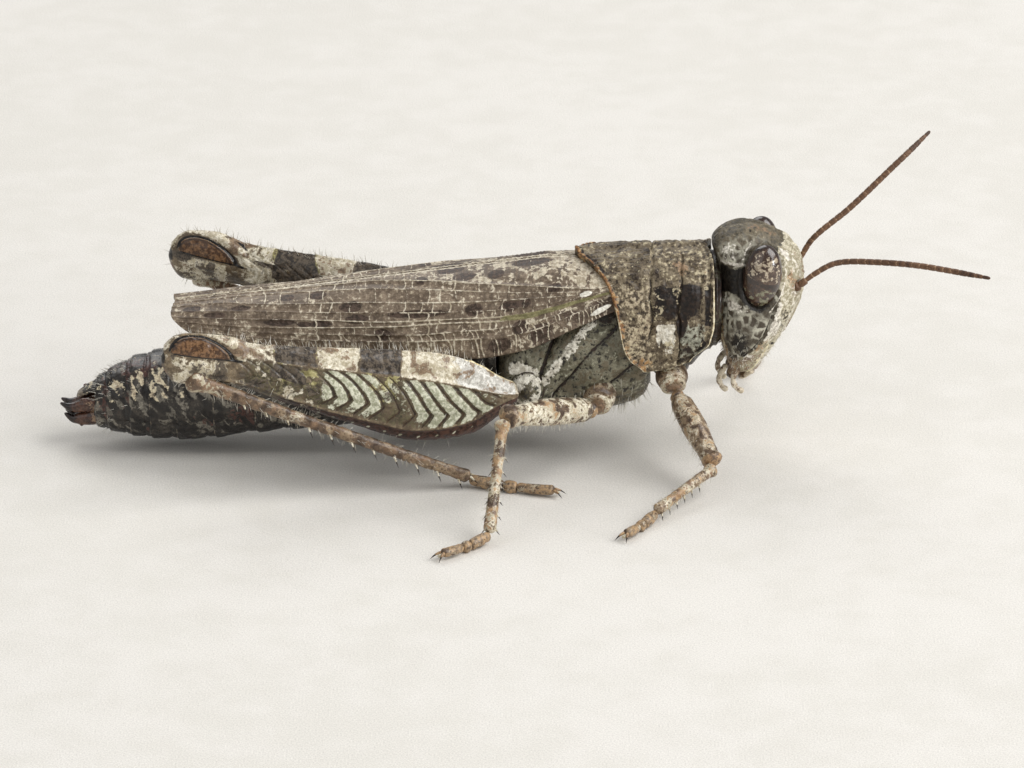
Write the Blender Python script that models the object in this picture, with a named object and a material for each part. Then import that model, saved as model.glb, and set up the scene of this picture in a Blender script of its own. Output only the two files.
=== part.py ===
"""Grasshopper, a life-size still model that stands on six feet.

+X runs from tail to head, +Y to the animal's left and +Z up, with the floor at z = 0.
Sizes are written in millimetres and multiplied by MM where a mesh is made.
"""
import math

import bmesh
import bpy
from mathutils import Vector

MM = 0.001
GAP = 0.06                  # clearance between neighbouring pieces
FEELER_RADIUS = 0.25        # antennae, palps and thin legs are drawn half a millimetre thick

# Head: an upright egg, cut off below by the mouthparts
HEAD_BOTTOM = 2.9
HEAD_TOP = 7.38
EYE_CENTRE = (7.68, 1.28, 6.09)
EYE_HALF = (0.61, 0.52, 1.02)
EYE_TILT = math.radians(-8)

# Wings: roof-shaped covers, folded along the back
WING_TIP_X = -10.55
WING_THICKNESS = 0.45
ROOF_POWER = 2.3

# Body
BODY_PITCH = 0.127          # rise of the back towards the head, per unit of length
BACK_HEIGHT = 6.15          # height of the wing ridge above x = 0
ABDOMEN_FRONT_X = -0.5
ABDOMEN_END_X = -12.95
ABDOMEN_SEGMENTS = 9

# Hind legs
HIND_HIP = (0.2, 2.35, 2.72)
HIND_KNEE_Y = 4.5
HIND_HEEL = (-9.72, 4.5, 3.78)
HIND_ANKLE = (-1.3, 3.55, 0.42)
HIND_SPINES = 8
HIND_REACH = {"right": 0.0, "left": -0.32}     # the left knee is held a little further back
HIND_KNEE_X = -10.62

# Feet: pads lie on the floor
PAD_HEIGHT = 0.5
PAD_HALF = 0.25
PAD_LIFT = 0.05


# ---------------------------------------------------------------- helpers

def clear_scene():
    for item in list(bpy.data.objects):
        bpy.data.objects.remove(item)


def material(name, colour, roughness):
    made = bpy.data.materials.new(name)
    made.use_nodes = True
    shader = made.node_tree.nodes["Principled BSDF"]
    shader.inputs["Base Color"].default_value = (*colour, 1.0)
    shader.inputs["Roughness"].default_value = roughness
    shader.inputs["Metallic"].default_value = 0.0
    return made


def profile(points):
    """Smooth curve through a few (position, value) points that never overshoots them."""
    places = [p[0] for p in points]
    values = [p[1] for p in points]
    count = len(points)
    rise = [(values[i + 1] - values[i]) / (places[i + 1] - places[i]) for i in range(count - 1)]
    slope = [rise[0]]
    for i in range(1, count - 1):
        before = rise[i - 1]
        after = rise[i]
        slope.append(2 * before * after / (before + after) if before * after > 0 else 0.0)
    slope.append(rise[-1])

    def value(place):
        place = min(max(place, places[0]), places[-1])
        i = 0
        while i < count - 2 and place > places[i + 1]:
            i += 1
        step = places[i + 1] - places[i]
        t = (place - places[i]) / step
        start = (1 + 2 * t) * (1 - t) ** 2 * values[i] + t * (1 - t) ** 2 * step * slope[i]
        end = t * t * (3 - 2 * t) * values[i + 1] + t * t * (t - 1) * step * slope[i + 1]
        return start + end

    return value


def spread(low, high, count):
    return [low + (high - low) * i / (count - 1) for i in range(count)]


def power(value, exponent):
    return math.copysign(abs(value) ** exponent, value)


def ring(centre, across, up, half_width, half_height, count, roundness=2.0):
    """Closed superellipse of points; roundness 2 is an ellipse and more is boxier."""
    points = []
    for k in range(count):
        angle = 2 * math.pi * (k + 0.5) / count
        reach = power(math.cos(angle), 2 / roundness) * half_width
        rise = power(math.sin(angle), 2 / roundness) * half_height
        points.append(centre + across * reach + up * rise)
    return points


def loft_mesh(rings, start_tip=None, end_tip=None):
    """Skin a row of equal rings; each end closes on a tip point or with a flat cap."""
    mesh = bmesh.new()
    rows = [[mesh.verts.new(point) for point in points] for points in rings]
    count = len(rows[0])
    for lower, upper in zip(rows, rows[1:]):
        for k in range(count):
            nxt = (k + 1) % count
            mesh.faces.new((lower[k], lower[nxt], upper[nxt], upper[k]))
    for row, tip in ((rows[0], start_tip), (rows[-1], end_tip)):
        if tip is None:
            mesh.faces.new(row)
        else:
            point = mesh.verts.new(tip)
            for k in range(count):
                mesh.faces.new((row[k], row[(k + 1) % count], point))
    bmesh.ops.recalc_face_normals(mesh, faces=mesh.faces)
    return mesh


def add_object(name, mesh, finish, side=1, sharp=35):
    """Make an object from a mesh in millimetres; side -1 keeps it on the right, 1 mirrors it left."""
    for vert in mesh.verts:
        vert.co.y *= side
    mesh.normal_update()
    bmesh.ops.recalc_face_normals(mesh, faces=mesh.faces)
    for vert in mesh.verts:
        vert.co *= MM
    data = bpy.data.meshes.new(name)
    mesh.to_mesh(data)
    mesh.free()
    data.shade_smooth()
    data.set_sharp_from_angle(angle=math.radians(sharp))
    data.materials.append(finish)
    made = bpy.data.objects.new(name, data)
    bpy.context.scene.collection.objects.link(made)
    return made


def cut_away(target, cutter):
    """Subtract a hidden cutter from an object."""
    cutter.hide_render = True
    cutter.display_type = "WIRE"
    cut = target.modifiers.new("cut_" + cutter.name, "BOOLEAN")
    cut.operation = "DIFFERENCE"
    cut.solver = "EXACT"
    cut.object = cutter


def dome(distance, radius):
    """Rounding of a rod's end: 0 at the tip, 1 from one radius on."""
    short = 1 - min(distance / radius, 1.0)
    return math.sqrt(max(1 - short * short, 0.0))


def limb_mesh(path, across_size, up_size, up_hint=(0, 0, 1), sides=8, stations=7,
              ends=(None, None), marks=(), roundness=2.0):
    """Rod along path(t) with half sizes across_size(t) and up_size(t) and rounded ends.

    ends holds the length of each rounded end, and marks holds extra stations.
    """
    length = sum((path(b) - path(a)).length for a, b in zip(spread(0, 1, 21), spread(0, 1, 21)[1:]))
    first = ends[0] or across_size(0)
    last = ends[1] or across_size(1)
    places = [first * f / length for f in (0.1, 0.45, 1.0)]
    places += [1 - last * f / length for f in (1.0, 0.45, 0.1)]
    inner = spread(places[2], places[3], stations)[1:-1]
    kept = [t for t in inner if all(abs(t - m) > 0.25 / length for m in marks)]
    places = sorted(places + kept + list(marks))
    hint = Vector(up_hint)
    rings = []
    for t in places:
        heading = (path(min(t + 0.01, 1)) - path(max(t - 0.01, 0))).normalized()
        up = (hint - heading * hint.dot(heading)).normalized()
        across = heading.cross(up)
        round_off = dome(t * length, first) * dome((1 - t) * length, last)
        size = (across_size(t) * round_off, up_size(t) * round_off)
        rings.append(ring(path(t), across, up, size[0], size[1], sides, roundness))
    return loft_mesh(rings, path(0), path(1))


def straight(start, end, bow=(0, 0, 0)):
    """Path from start to end that bows sideways in its middle."""
    low = Vector(start)
    high = Vector(end)
    lift = Vector(bow)
    return lambda t: low.lerp(high, t) + lift * (4 * t * (1 - t))


def smooth_path(points):
    """Path through a few points, parameter 0 to 1 shared out by chord length."""
    chords = [0.0]
    for a, b in zip(points, points[1:]):
        chords.append(chords[-1] + (Vector(b) - Vector(a)).length)
    axes = []
    for axis in range(3):
        axes.append(profile([(c / chords[-1], p[axis]) for c, p in zip(chords, points)]))
    return lambda t: Vector([curve(t) for curve in axes])


def toward(start, end, distance):
    """Point at a distance from start on the way to end."""
    low = Vector(start)
    return low + (Vector(end) - low).normalized() * distance


# ---------------------------------------------------------------- head

def head_rings(grow=0.0):
    front = profile([(2.9, 7.98), (3.6, 8.3), (4.4, 8.66), (5.4, 9.0), (6.1, 8.97), (6.75, 8.6),
                     (7.15, 8.1), (HEAD_TOP, 7.55)])
    back = profile([(2.9, 6.75), (3.6, 6.48), (4.4, 6.32), (6.2, 6.31), (6.8, 6.16), (7.1, 6.35),
                    (HEAD_TOP, 7.0)])
    half = profile([(2.9, 1.22), (3.6, 1.55), (4.4, 1.72), (5.3, 1.6), (6.2, 1.36), (6.8, 1.08),
                    (7.2, 0.72), (HEAD_TOP, 0.4)])
    rings = []
    for z in (HEAD_BOTTOM, 3.25, 3.7, 4.2, 4.75, 5.3, 5.85, 6.35, 6.75, 7.05, 7.25, HEAD_TOP):
        middle = (front(z) + back(z)) / 2
        reach = (front(z) - back(z)) / 2
        row = []
        for k in range(20):
            angle = 2 * math.pi * k / 20
            narrow = 1 - 0.2 * math.cos(angle)
            y = power(math.sin(angle), 0.9) * (half(z) + grow) * narrow
            row.append(Vector((middle + power(math.cos(angle), 0.85) * (reach + grow), y, z)))
        rings.append(row)
    return rings


def eye_mesh(grow=0.0):
    mesh = bmesh.new()
    bmesh.ops.create_uvsphere(mesh, u_segments=14, v_segments=9, radius=1.0)
    for vert in mesh.verts:
        local = Vector((vert.co[i] * (EYE_HALF[i] + grow) for i in range(3)))
        x = local.x * math.cos(EYE_TILT) - local.z * math.sin(EYE_TILT)
        z = local.x * math.sin(EYE_TILT) + local.z * math.cos(EYE_TILT)
        vert.co = Vector((x, local.y, z)) + Vector(EYE_CENTRE)
    return mesh


def build_head(shell, eye_finish, brown):
    crown = Vector((7.4, 0, HEAD_TOP + 0.03))
    head = add_object("head", loft_mesh(head_rings(), None, crown), shell)
    for name, side in (("left", 1), ("right", -1)):
        add_object("eye_" + name, eye_mesh(), eye_finish, side)
        socket = add_object("socket_" + name, eye_mesh(GAP), shell, side)
        cut_away(head, socket)
        build_antenna(name, side, brown)
        build_mouth_side(name, side, brown)
    labrum = straight((7.8, 0, HEAD_BOTTOM - 2 * GAP), (7.24, 0, 2.18))
    mesh = limb_mesh(labrum, profile([(0, 0.7), (0.5, 0.66), (1, 0.45)]),
                     profile([(0, 0.17), (1, 0.13)]), (1, 0, 0), 8, 3, (0.12, 0.2))
    add_object("labrum", mesh, brown)


def build_antenna(name, side, finish):
    if side < 0:
        route = [(9.02, 0.46, 5.5), (9.95, 0.75, 6.3), (11.05, 1.2, 6.52), (12.8, 2.05, 6.66),
                 (14.6, 2.9, 6.62)]
    else:
        route = [(9.02, 0.46, 5.5), (9.32, 0.72, 6.35), (10.48, 1.2, 7.3), (12.07, 1.9, 8.74),
                 (13.1, 2.7, 9.5)]
    radius = profile([(0, FEELER_RADIUS), (0.9, FEELER_RADIUS), (1, 0.22)])
    mesh = limb_mesh(smooth_path(route), radius, radius, (0, 1, 0), 6, 11)
    add_object("antenna_" + name, mesh, finish, side)


def build_mouth_side(name, side, finish):
    """Mandible and the two jointed feelers of one side of the mouth."""
    jaw = straight((7.18, 0.48, HEAD_BOTTOM - 2 * GAP), (6.84, 0.36, 2.26))
    mesh = limb_mesh(jaw, profile([(0, 0.24), (1, 0.2)]), profile([(0, 0.21), (1, 0.17)]),
                     (1, 0, 0), 8, 3, (0.12, 0.2))
    add_object("mandible_" + name, mesh, finish, side)
    outer = smooth_path([(6.9, 1.0, HEAD_BOTTOM - 0.1), (6.9, 1.08, 2.4), (7.25, 1.0, 2.05)])
    inner = smooth_path([(6.58, 0.56, HEAD_BOTTOM - 0.12), (6.34, 0.56, 2.3), (6.62, 0.52, 1.88)])
    slim = profile([(0, 0.17), (0.5, 0.16), (0.9, 0.19), (1, 0.17)])
    for label, route in (("maxillary", outer), ("labial", inner)):
        mesh = limb_mesh(route, slim, slim, (0, 1, 0), 6, 4)
        add_object("palp_" + label + "_" + name, mesh, finish, side)


# ---------------------------------------------------------------- thorax and pronotum

def body_ring(x, low, high, half, count=16, taper=0.16):
    """Upright section of the trunk, a little narrower towards the back."""
    row = []
    for k in range(count):
        angle = 2 * math.pi * (k + 0.5) / count
        rise = power(math.sin(angle), 0.88)
        narrow = 1 - taper * max(rise, 0)
        y = power(math.cos(angle), 0.88) * half * narrow
        row.append(Vector((x, y, (low + high) / 2 + rise * (high - low) / 2)))
    return row


def trunk_rings(places, low, high, half, grow=0.0):
    return [body_ring(x, low(x) - grow, high(x) + grow, half(x) + grow) for x in places]


def thorax_mesh(grow=0.0):
    low = profile([(-0.4, 1.45), (1.0, 1.3), (2.8, 1.35), (4.3, 1.6)])
    high = profile([(-0.4, 4.6), (1.0, 4.85), (2.8, 5.05), (4.3, 5.6)])
    half = profile([(-0.4, 1.55), (0.6, 1.7), (2.2, 1.7), (3.3, 1.52), (4.3, 1.35)])
    places = [-0.42 - grow] + spread(0.0, 3.9, 7) + [4.3 + grow]
    return loft_mesh(trunk_rings(places, low, high, half, grow))


def prothorax_mesh(grow=0.0):
    low = profile([(4.3, 1.75), (5.2, 2.35), (6.0, 3.3), (6.22, 3.5)])
    high = profile([(4.3, 6.0), (6.22, 6.05)])
    half = profile([(4.3, 1.3), (5.6, 1.28), (6.22, 1.15)])
    places = [4.3 + GAP - grow, 4.9, 5.4, 5.8, 6.22]
    return loft_mesh(trunk_rings(places, low, high, half, grow))


def build_thorax(shell):
    add_object("thorax", thorax_mesh(), shell)
    add_object("prothorax", prothorax_mesh(), shell)


def build_pronotum(shell):
    """Saddle over the front of the thorax, with a pointed hind edge and two hanging lobes."""
    hind = profile([(0, 1.95), (0.3, 2.62), (0.56, 3.06), (0.75, 3.26), (0.9, 3.55), (1, 3.95)])
    front = profile([(0, 6.02), (0.3, 6.2), (0.8, 6.24), (0.93, 6.1), (1, 5.5)])
    ridge = profile([(1.9, 6.46), (3.0, 6.55), (4.4, 6.63), (6.3, 6.66)])
    half = profile([(1.9, 2.04), (3.2, 2.0), (4.6, 1.84), (6.3, 1.8)])
    hem = profile([(0, 3.1), (0.5, 3.18), (1, 3.44)])
    thickness = 0.34
    columns = spread(-1, 1, 17)
    lengths = spread(0, 1, 8)
    mesh = bmesh.new()
    skins = []
    for inset in (0.0, thickness):
        grid = []
        for u in columns:
            angle = abs(u) * math.pi / 2
            drop = math.cos(angle) ** (2 / 2.6)
            reach = math.sin(angle) ** (2 / 2.6) * (1 - 0.07 * abs(u) ** 4)
            row = []
            for v in lengths:
                x = hind(abs(u)) + (front(abs(u)) - hind(abs(u))) * v
                y = math.copysign(reach * (half(x) - inset), u)
                z = hem(v) + (ridge(x) - inset - hem(v)) * drop
                row.append(mesh.verts.new((x, y, z)))
            grid.append(row)
        skins.append(grid)
    outer, inner = skins
    for i in range(len(columns) - 1):
        for j in range(len(lengths) - 1):
            mesh.faces.new((outer[i][j], outer[i + 1][j], outer[i + 1][j + 1], outer[i][j + 1]))
            mesh.faces.new((inner[i][j], inner[i][j + 1], inner[i + 1][j + 1], inner[i + 1][j]))
    rim = [(i, 0) for i in range(len(columns))]
    rim += [(len(columns) - 1, j) for j in range(1, len(lengths))]
    rim += [(i, len(lengths) - 1) for i in range(len(columns) - 2, -1, -1)]
    rim += [(0, j) for j in range(len(lengths) - 2, 0, -1)]
    for (i, j), (m, n) in zip(rim, rim[1:] + rim[:1]):
        mesh.faces.new((outer[i][j], inner[i][j], inner[m][n], outer[m][n]))
    add_object("pronotum", mesh, shell)


# ---------------------------------------------------------------- abdomen

def abdomen_middle(x):
    return profile([(-13.0, 1.42), (-11.8, 1.62), (-9.8, 1.78), (-8.5, 2.02), (-4.0, 2.62), (0, 3.0)])(x)


def abdomen_half(x):
    return profile([(-12.95, 0.7), (-12.5, 0.92), (-11.8, 1.17), (-10.6, 1.36), (-8.5, 1.5),
                    (-4.0, 1.62), (-0.5, 1.62)])(x)


def build_abdomen(shell, brown):
    """Ringed cone: each ring is widest at its hind edge and overlaps the next."""
    edges = []
    for i in range(ABDOMEN_SEGMENTS + 1):
        along = (i / ABDOMEN_SEGMENTS) ** 0.92
        edges.append(ABDOMEN_FRONT_X + (ABDOMEN_END_X - ABDOMEN_FRONT_X) * along)
    rings = []
    for front, hind in zip(edges, edges[1:]):
        lip = (hind - front) * 0.94 + front
        for x, swell in ((front, 0.0), (lip, 0.06)):
            half = abdomen_half(x) + swell
            middle = abdomen_middle(x)
            rings.append(body_ring(x, middle - half, middle + half, half, taper=0.0))
    tail = Vector((ABDOMEN_END_X - 0.1, 0, abdomen_middle(ABDOMEN_END_X)))
    add_object("abdomen", loft_mesh(rings, None, tail), shell)
    plate = straight((-13.08, 0, 1.92), (-13.62, 0, 1.66))
    mesh = limb_mesh(plate, profile([(0, 0.42), (1, 0.2)]), profile([(0, 0.13), (1, 0.08)]),
                     (0, 0, 1), 8, 3, (0.1, 0.2))
    add_object("tail_plate", mesh, shell)
    for name, side in (("left", 1), ("right", -1)):
        upper = smooth_path([(-13.1, 0.26, 1.5), (-13.5, 0.22, 1.39), (-14.02, 0.2, 1.42)])
        lower = smooth_path([(-13.08, 0.26, 1.02), (-13.45, 0.22, 0.96), (-13.98, 0.2, 1.1)])
        thick = profile([(0, 0.2), (0.6, 0.16), (1, 0.08)])
        for label, route in (("upper", upper), ("lower", lower)):
            mesh = limb_mesh(route, profile([(0, 0.19), (0.6, 0.15), (1, 0.06)]), thick, (0, 0, 1),
                             6, 3, (0.1, 0.1))
            add_object("valve_" + label + "_" + name, mesh, brown, side)
        cercus = straight((-13.05, 0.6, 1.6), (-13.45, 0.62, 1.72))
        mesh = limb_mesh(cercus, profile([(0, 0.13), (1, 0.07)]), profile([(0, 0.13), (1, 0.07)]),
                         (0, 0, 1), 6, 3, (0.1, 0.1))
        add_object("cercus_" + name, mesh, brown, side)


# ---------------------------------------------------------------- wings

def ridge_height(x):
    return BACK_HEIGHT + BODY_PITCH * x


def build_tegmina(finish):
    """Leathery fore wings: each a curved plate from the ridge down the flank."""
    hem = profile([(-10.6, 4.45), (-9.5, 4.12), (-5.0, 3.74), (-1.2, 3.62), (0.25, 3.86), (2.0, 4.6),
                   (3.5, 5.2)])
    half = profile([(-10.6, 1.2), (-6.0, 1.62), (-1.5, 1.93), (1.0, 1.94), (3.0, 1.84)])
    base = profile([(0, 1.84), (0.25, 2.42), (0.5, 2.76), (0.75, 2.93), (1, 2.98)])
    rows = spread(0, 1, 9)
    lengths = spread(0, 1, 14)
    for name, side in (("left", 1), ("right", -1)):
        mesh = bmesh.new()
        skins = []
        for inset in (0.0, WING_THICKNESS):
            grid = []
            for u in rows:
                tip = WING_TIP_X + 0.62 * abs(2 * u - 0.85) ** 3
                angle = u * math.pi / 2
                row = []
                for v in lengths:
                    x = tip + (base(u) - tip) * v
                    lowered = 0.1 * max(x - 1.0, 0)
                    top = ridge_height(x) - inset - lowered
                    y = 0.035 + math.sin(angle) ** (2 / ROOF_POWER) * (half(x) - 0.035 - inset)
                    z = hem(x) + (top - hem(x)) * math.cos(angle) ** (2 / ROOF_POWER)
                    row.append(mesh.verts.new((x, y, z)))
                grid.append(row)
            skins.append(grid)
        outer, inner = skins
        for i in range(len(rows) - 1):
            for j in range(len(lengths) - 1):
                mesh.faces.new((outer[i][j], outer[i + 1][j], outer[i + 1][j + 1], outer[i][j + 1]))
                mesh.faces.new((inner[i][j], inner[i][j + 1], inner[i + 1][j + 1], inner[i + 1][j]))
        rim = [(i, 0) for i in range(len(rows))]
        rim += [(len(rows) - 1, j) for j in range(1, len(lengths))]
        rim += [(i, len(lengths) - 1) for i in range(len(rows) - 2, -1, -1)]
        rim += [(0, j) for j in range(len(lengths) - 2, 0, -1)]
        for (i, j), (m, n) in zip(rim, rim[1:] + rim[:1]):
            mesh.faces.new((outer[i][j], inner[i][j], inner[m][n], outer[m][n]))
        add_object("tegmen_" + name, mesh, finish, side)


def build_hind_wings(finish):
    """Hind wings: folded fans that fill the roof under the fore wings."""
    for name, side in (("left", 1), ("right", -1)):
        route = straight((1.7, 0.42, ridge_height(1.7) - 0.98), (-9.9, 0.42, ridge_height(-9.9) - 0.92))
        mesh = limb_mesh(route, profile([(0, 0.3), (0.3, 0.36), (1, 0.3)]),
                         profile([(0, 0.3), (0.3, 0.38), (1, 0.3)]), (0, 0, 1), 8, 6, (0.4, 0.5))
        add_object("hind_wing_" + name, mesh, finish, side)


# ---------------------------------------------------------------- legs

def add_leg_rod(name, start, end, sizes, finish, side, bow=(0, 0, 0), sides=8, spines=0):
    """Straight leg piece; sizes are half widths at its start, middle and end."""
    width = profile([(0, sizes[0]), (0.45, sizes[1]), (1, sizes[2])])
    length = (Vector(end) - Vector(start)).length
    marks = []
    for i in range(spines):
        place = 0.4 + 0.55 * i / max(spines - 1, 1)
        marks += [place - 0.06 / length, place + 0.06 / length]
    path = straight(start, end, bow)
    mesh = limb_mesh(path, width, width, (0, 0, 1), sides, 5, (0.14, 0.16), marks)
    if spines:
        heading = (Vector(end) - Vector(start)).normalized()
        grow_spines(mesh, path, marks, heading, 0.3, width)
    add_object(name, mesh, finish, side)


def grow_spines(mesh, path, marks, heading, length, width):
    """Raise the two lower faces at each pair of marks into points that lean along the limb."""
    down = Vector((0, 0, -1))
    across = heading.cross(down).normalized()
    mesh.faces.ensure_lookup_table()
    chosen = []
    for low, high in zip(marks[::2], marks[1::2]):
        centre = path((low + high) / 2)
        reach = width((low + high) / 2)
        for sign in (-1, 1):
            wanted = (down + across * sign).normalized()
            target = centre + wanted * reach
            face = min(mesh.faces, key=lambda f: (f.calc_center_median() - target).length)
            if face not in chosen and len(face.verts) == 4:
                chosen.append(face)
    for face in chosen:
        made = bmesh.ops.poke(mesh, faces=[face], offset=length, center_mode="MEAN")
        for vert in made["verts"]:
            vert.co += heading * length * 0.7
            vert.co.z = max(vert.co.z, PAD_LIFT)


def build_foot(name, ankle, heading, length, finish, side):
    """Foot of three pads that lie on the floor and two claws at its tip."""
    flat = Vector((heading[0], heading[1], 0)).normalized()
    start = Vector((ankle[0], ankle[1], 0)) + flat * (FEELER_RADIUS + GAP)
    across = Vector((-flat.y, flat.x, 0))
    up = Vector((0, 0, 1))
    pads = ((0.0, 0.42), (0.42, 0.64), (0.64, 1.0))
    rings = []
    for low, high in pads:
        for part, size in ((0.05, 0.75), (0.3, 1.0), (0.8, 1.0)):
            place = start + flat * (length * (low + (high - low) * part))
            top = PAD_HEIGHT * (0.72 + 0.28 * size)
            bottom = 0.0 if size == 1.0 else PAD_LIFT
            centre = place + up * ((top + bottom) / 2)
            row = ring(centre, across, up, PAD_HALF * size, (top - bottom) * 0.54, 8, 2.6)
            rings.append([Vector((p.x, p.y, max(p.z, bottom))) for p in row])
    tip = start + flat * length + up * 0.2
    mesh = loft_mesh(rings, start + up * 0.25, tip)
    mesh.faces.ensure_lookup_table()
    claw_length = 0.34
    for sign in (-1, 1):
        target = start + flat * (length * 0.985) + across * (PAD_HALF * sign) + up * 0.3
        face = min(mesh.faces, key=lambda f: (f.calc_center_median() - target).length)
        made = bmesh.ops.poke(mesh, faces=[face], offset=0.08, center_mode="MEAN")
        for vert in made["verts"]:
            vert.co += flat * claw_length - up * 0.1
    add_object(name, mesh, finish, side)


def build_fore_and_mid_legs(finish, trunk_cutter, neck_cutter):
    legs = {
        "fore_right": dict(side=-1, root=(4.9, 0.85, 2.95), hip=(5.02, 1.68, 2.42), knee=(6.2, 4.0, 0.9),
                           ankle=(4.35, 6.2, 0.42), heading=(-0.55, 0.84), foot=1.7, cutter=neck_cutter),
        "fore_left": dict(side=1, root=(4.9, 0.85, 2.95), hip=(5.02, 1.68, 2.42), knee=(6.6, 4.05, 2.85),
                          ankle=(7.3, 5.3, 0.42), heading=(0.5, 0.87), foot=1.7, cutter=neck_cutter),
        "mid_right": dict(side=-1, root=(2.8, 1.0, 2.3), hip=(2.6, 2.0, 1.95), knee=(-0.27, 5.2, 2.99),
                          ankle=(-0.68, 7.85, 0.42), heading=(-0.75, 0.66), foot=1.9, cutter=trunk_cutter),
        "mid_left": dict(side=1, root=(2.8, 1.0, 2.3), hip=(2.5, 2.05, 2.0), knee=(-0.6, 4.6, 4.3),
                         ankle=(-1.35, 5.25, 0.62), heading=(-0.8, 0.6), foot=1.9, cutter=trunk_cutter),
    }
    sizes = {"fore": ((0.34, 0.36, 0.32), (0.27, 0.25, 0.25)), "mid": ((0.36, 0.4, 0.34), (0.28, 0.25, 0.25))}
    for name, leg in legs.items():
        upper, shin = sizes[name.split("_")[0]]
        side = leg["side"]
        coxa = limb_mesh(straight(leg["root"], leg["hip"]), profile([(0, 0.5), (1, 0.4)]),
                         profile([(0, 0.5), (1, 0.4)]), (0, 0, 1), 8, 3, (0.3, 0.14))
        cut_away(add_object("coxa_" + name, coxa, finish, side), leg["cutter"])
        start = toward(leg["hip"], leg["knee"], GAP)
        add_leg_rod("femur_" + name, start, leg["knee"], upper, finish, side, (0, 0, 0.06))
        start = toward(leg["knee"], leg["ankle"], 0.4)
        add_leg_rod("tibia_" + name, start, leg["ankle"], shin, finish, side, spines=4)
        build_foot("tarsus_" + name, leg["ankle"], leg["heading"], leg["foot"], finish, side)


def build_hind_legs(finish, trunk_cutter):
    depth = profile([(0, 0.28), (0.06, 0.66), (0.14, 1.18), (0.28, 1.42), (0.42, 1.25), (0.6, 0.95),
                     (0.8, 0.66), (0.9, 0.6), (1, 0.5)])
    centre = profile([(0, 2.66), (0.14, 2.62), (0.28, 2.8), (0.42, 3.19), (0.6, 3.7), (0.8, 4.34),
                      (0.9, 4.62), (1, 4.72)])
    thick = profile([(0, 0.26), (0.08, 0.42), (0.25, 0.6), (0.5, 0.52), (0.78, 0.34), (0.9, 0.4), (1, 0.34)])
    shin = profile([(0, 0.3), (0.08, 0.26), (0.5, 0.25), (1, 0.27)])

    for name, side in (("left", 1), ("right", -1)):
        back = HIND_REACH[name]

        def thigh(t):
            x = HIND_HIP[0] + (HIND_KNEE_X + back - HIND_HIP[0]) * t
            y = HIND_HIP[1] + (HIND_KNEE_Y - HIND_HIP[1]) * t
            return Vector((x, y, centre(t)))

        coxa = limb_mesh(straight((0.5, 1.0, 2.5), (0.42, 2.1, 2.55)), profile([(0, 0.6), (1, 0.45)]),
                         profile([(0, 0.7), (1, 0.5)]), (0, 0, 1), 8, 3, (0.3, 0.2))
        cut_away(add_object("coxa_hind_" + name, coxa, finish, side), trunk_cutter)
        mesh = limb_mesh(thigh, thick, depth, (0.18, 0, 1), 12, 13, (0.3, 0.5))
        add_object("femur_hind_" + name, mesh, finish, side)
        heel = (HIND_HEEL[0] + back, HIND_HEEL[1], HIND_HEEL[2])
        ankle = (HIND_ANKLE[0] + back, HIND_ANKLE[1], HIND_ANKLE[2])
        path = straight(heel, ankle)
        length = (path(1) - path(0)).length
        marks = []
        for i in range(HIND_SPINES):
            place = 0.3 + 0.66 * i / (HIND_SPINES - 1)
            marks += [place - 0.07 / length, place + 0.07 / length]
        mesh = limb_mesh(path, shin, shin, (0, 0, 1), 8, 5, (0.25, 0.2), marks)
        grow_spines(mesh, path, marks, (path(1) - path(0)).normalized(), 0.34, shin)
        add_object("tibia_hind_" + name, mesh, finish, side)
        build_foot("tarsus_hind_" + name, ankle, (0.96, 0.28), 2.8, finish, side)


# ---------------------------------------------------------------- whole animal

def centre_on_floor():
    """Move the model so that its box is centred on the origin in x and y."""
    solids = [item for item in bpy.data.objects if not item.hide_render]
    corners = [item.matrix_world @ vert.co for item in solids for vert in item.data.vertices]
    shift_x = -(min(p.x for p in corners) + max(p.x for p in corners)) / 2
    shift_y = -(min(p.y for p in corners) + max(p.y for p in corners)) / 2
    for item in bpy.data.objects:
        item.location.x += shift_x
        item.location.y += shift_y


def main():
    clear_scene()
    shell = material("mottled shell", (0.30, 0.27, 0.23), 0.45)
    leg_finish = material("cream and brown leg", (0.52, 0.46, 0.36), 0.45)
    wing_finish = material("veined wing", (0.27, 0.24, 0.21), 0.5)
    hind_wing_finish = material("folded hind wing", (0.55, 0.5, 0.42), 0.5)
    eye_finish = material("eye", (0.2, 0.13, 0.08), 0.2)
    brown = material("red-brown horn", (0.3, 0.15, 0.08), 0.35)
    build_head(shell, eye_finish, brown)
    build_thorax(shell)
    trunk_cutter = add_object("cutter_thorax", thorax_mesh(GAP), shell)
    neck_cutter = add_object("cutter_prothorax", prothorax_mesh(GAP), shell)
    build_pronotum(shell)
    build_abdomen(shell, brown)
    build_tegmina(wing_finish)
    build_hind_wings(hind_wing_finish)
    build_fore_and_mid_legs(leg_finish, trunk_cutter, neck_cutter)
    build_hind_legs(leg_finish, trunk_cutter)
    centre_on_floor()


main()
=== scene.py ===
import functools
import math

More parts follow.
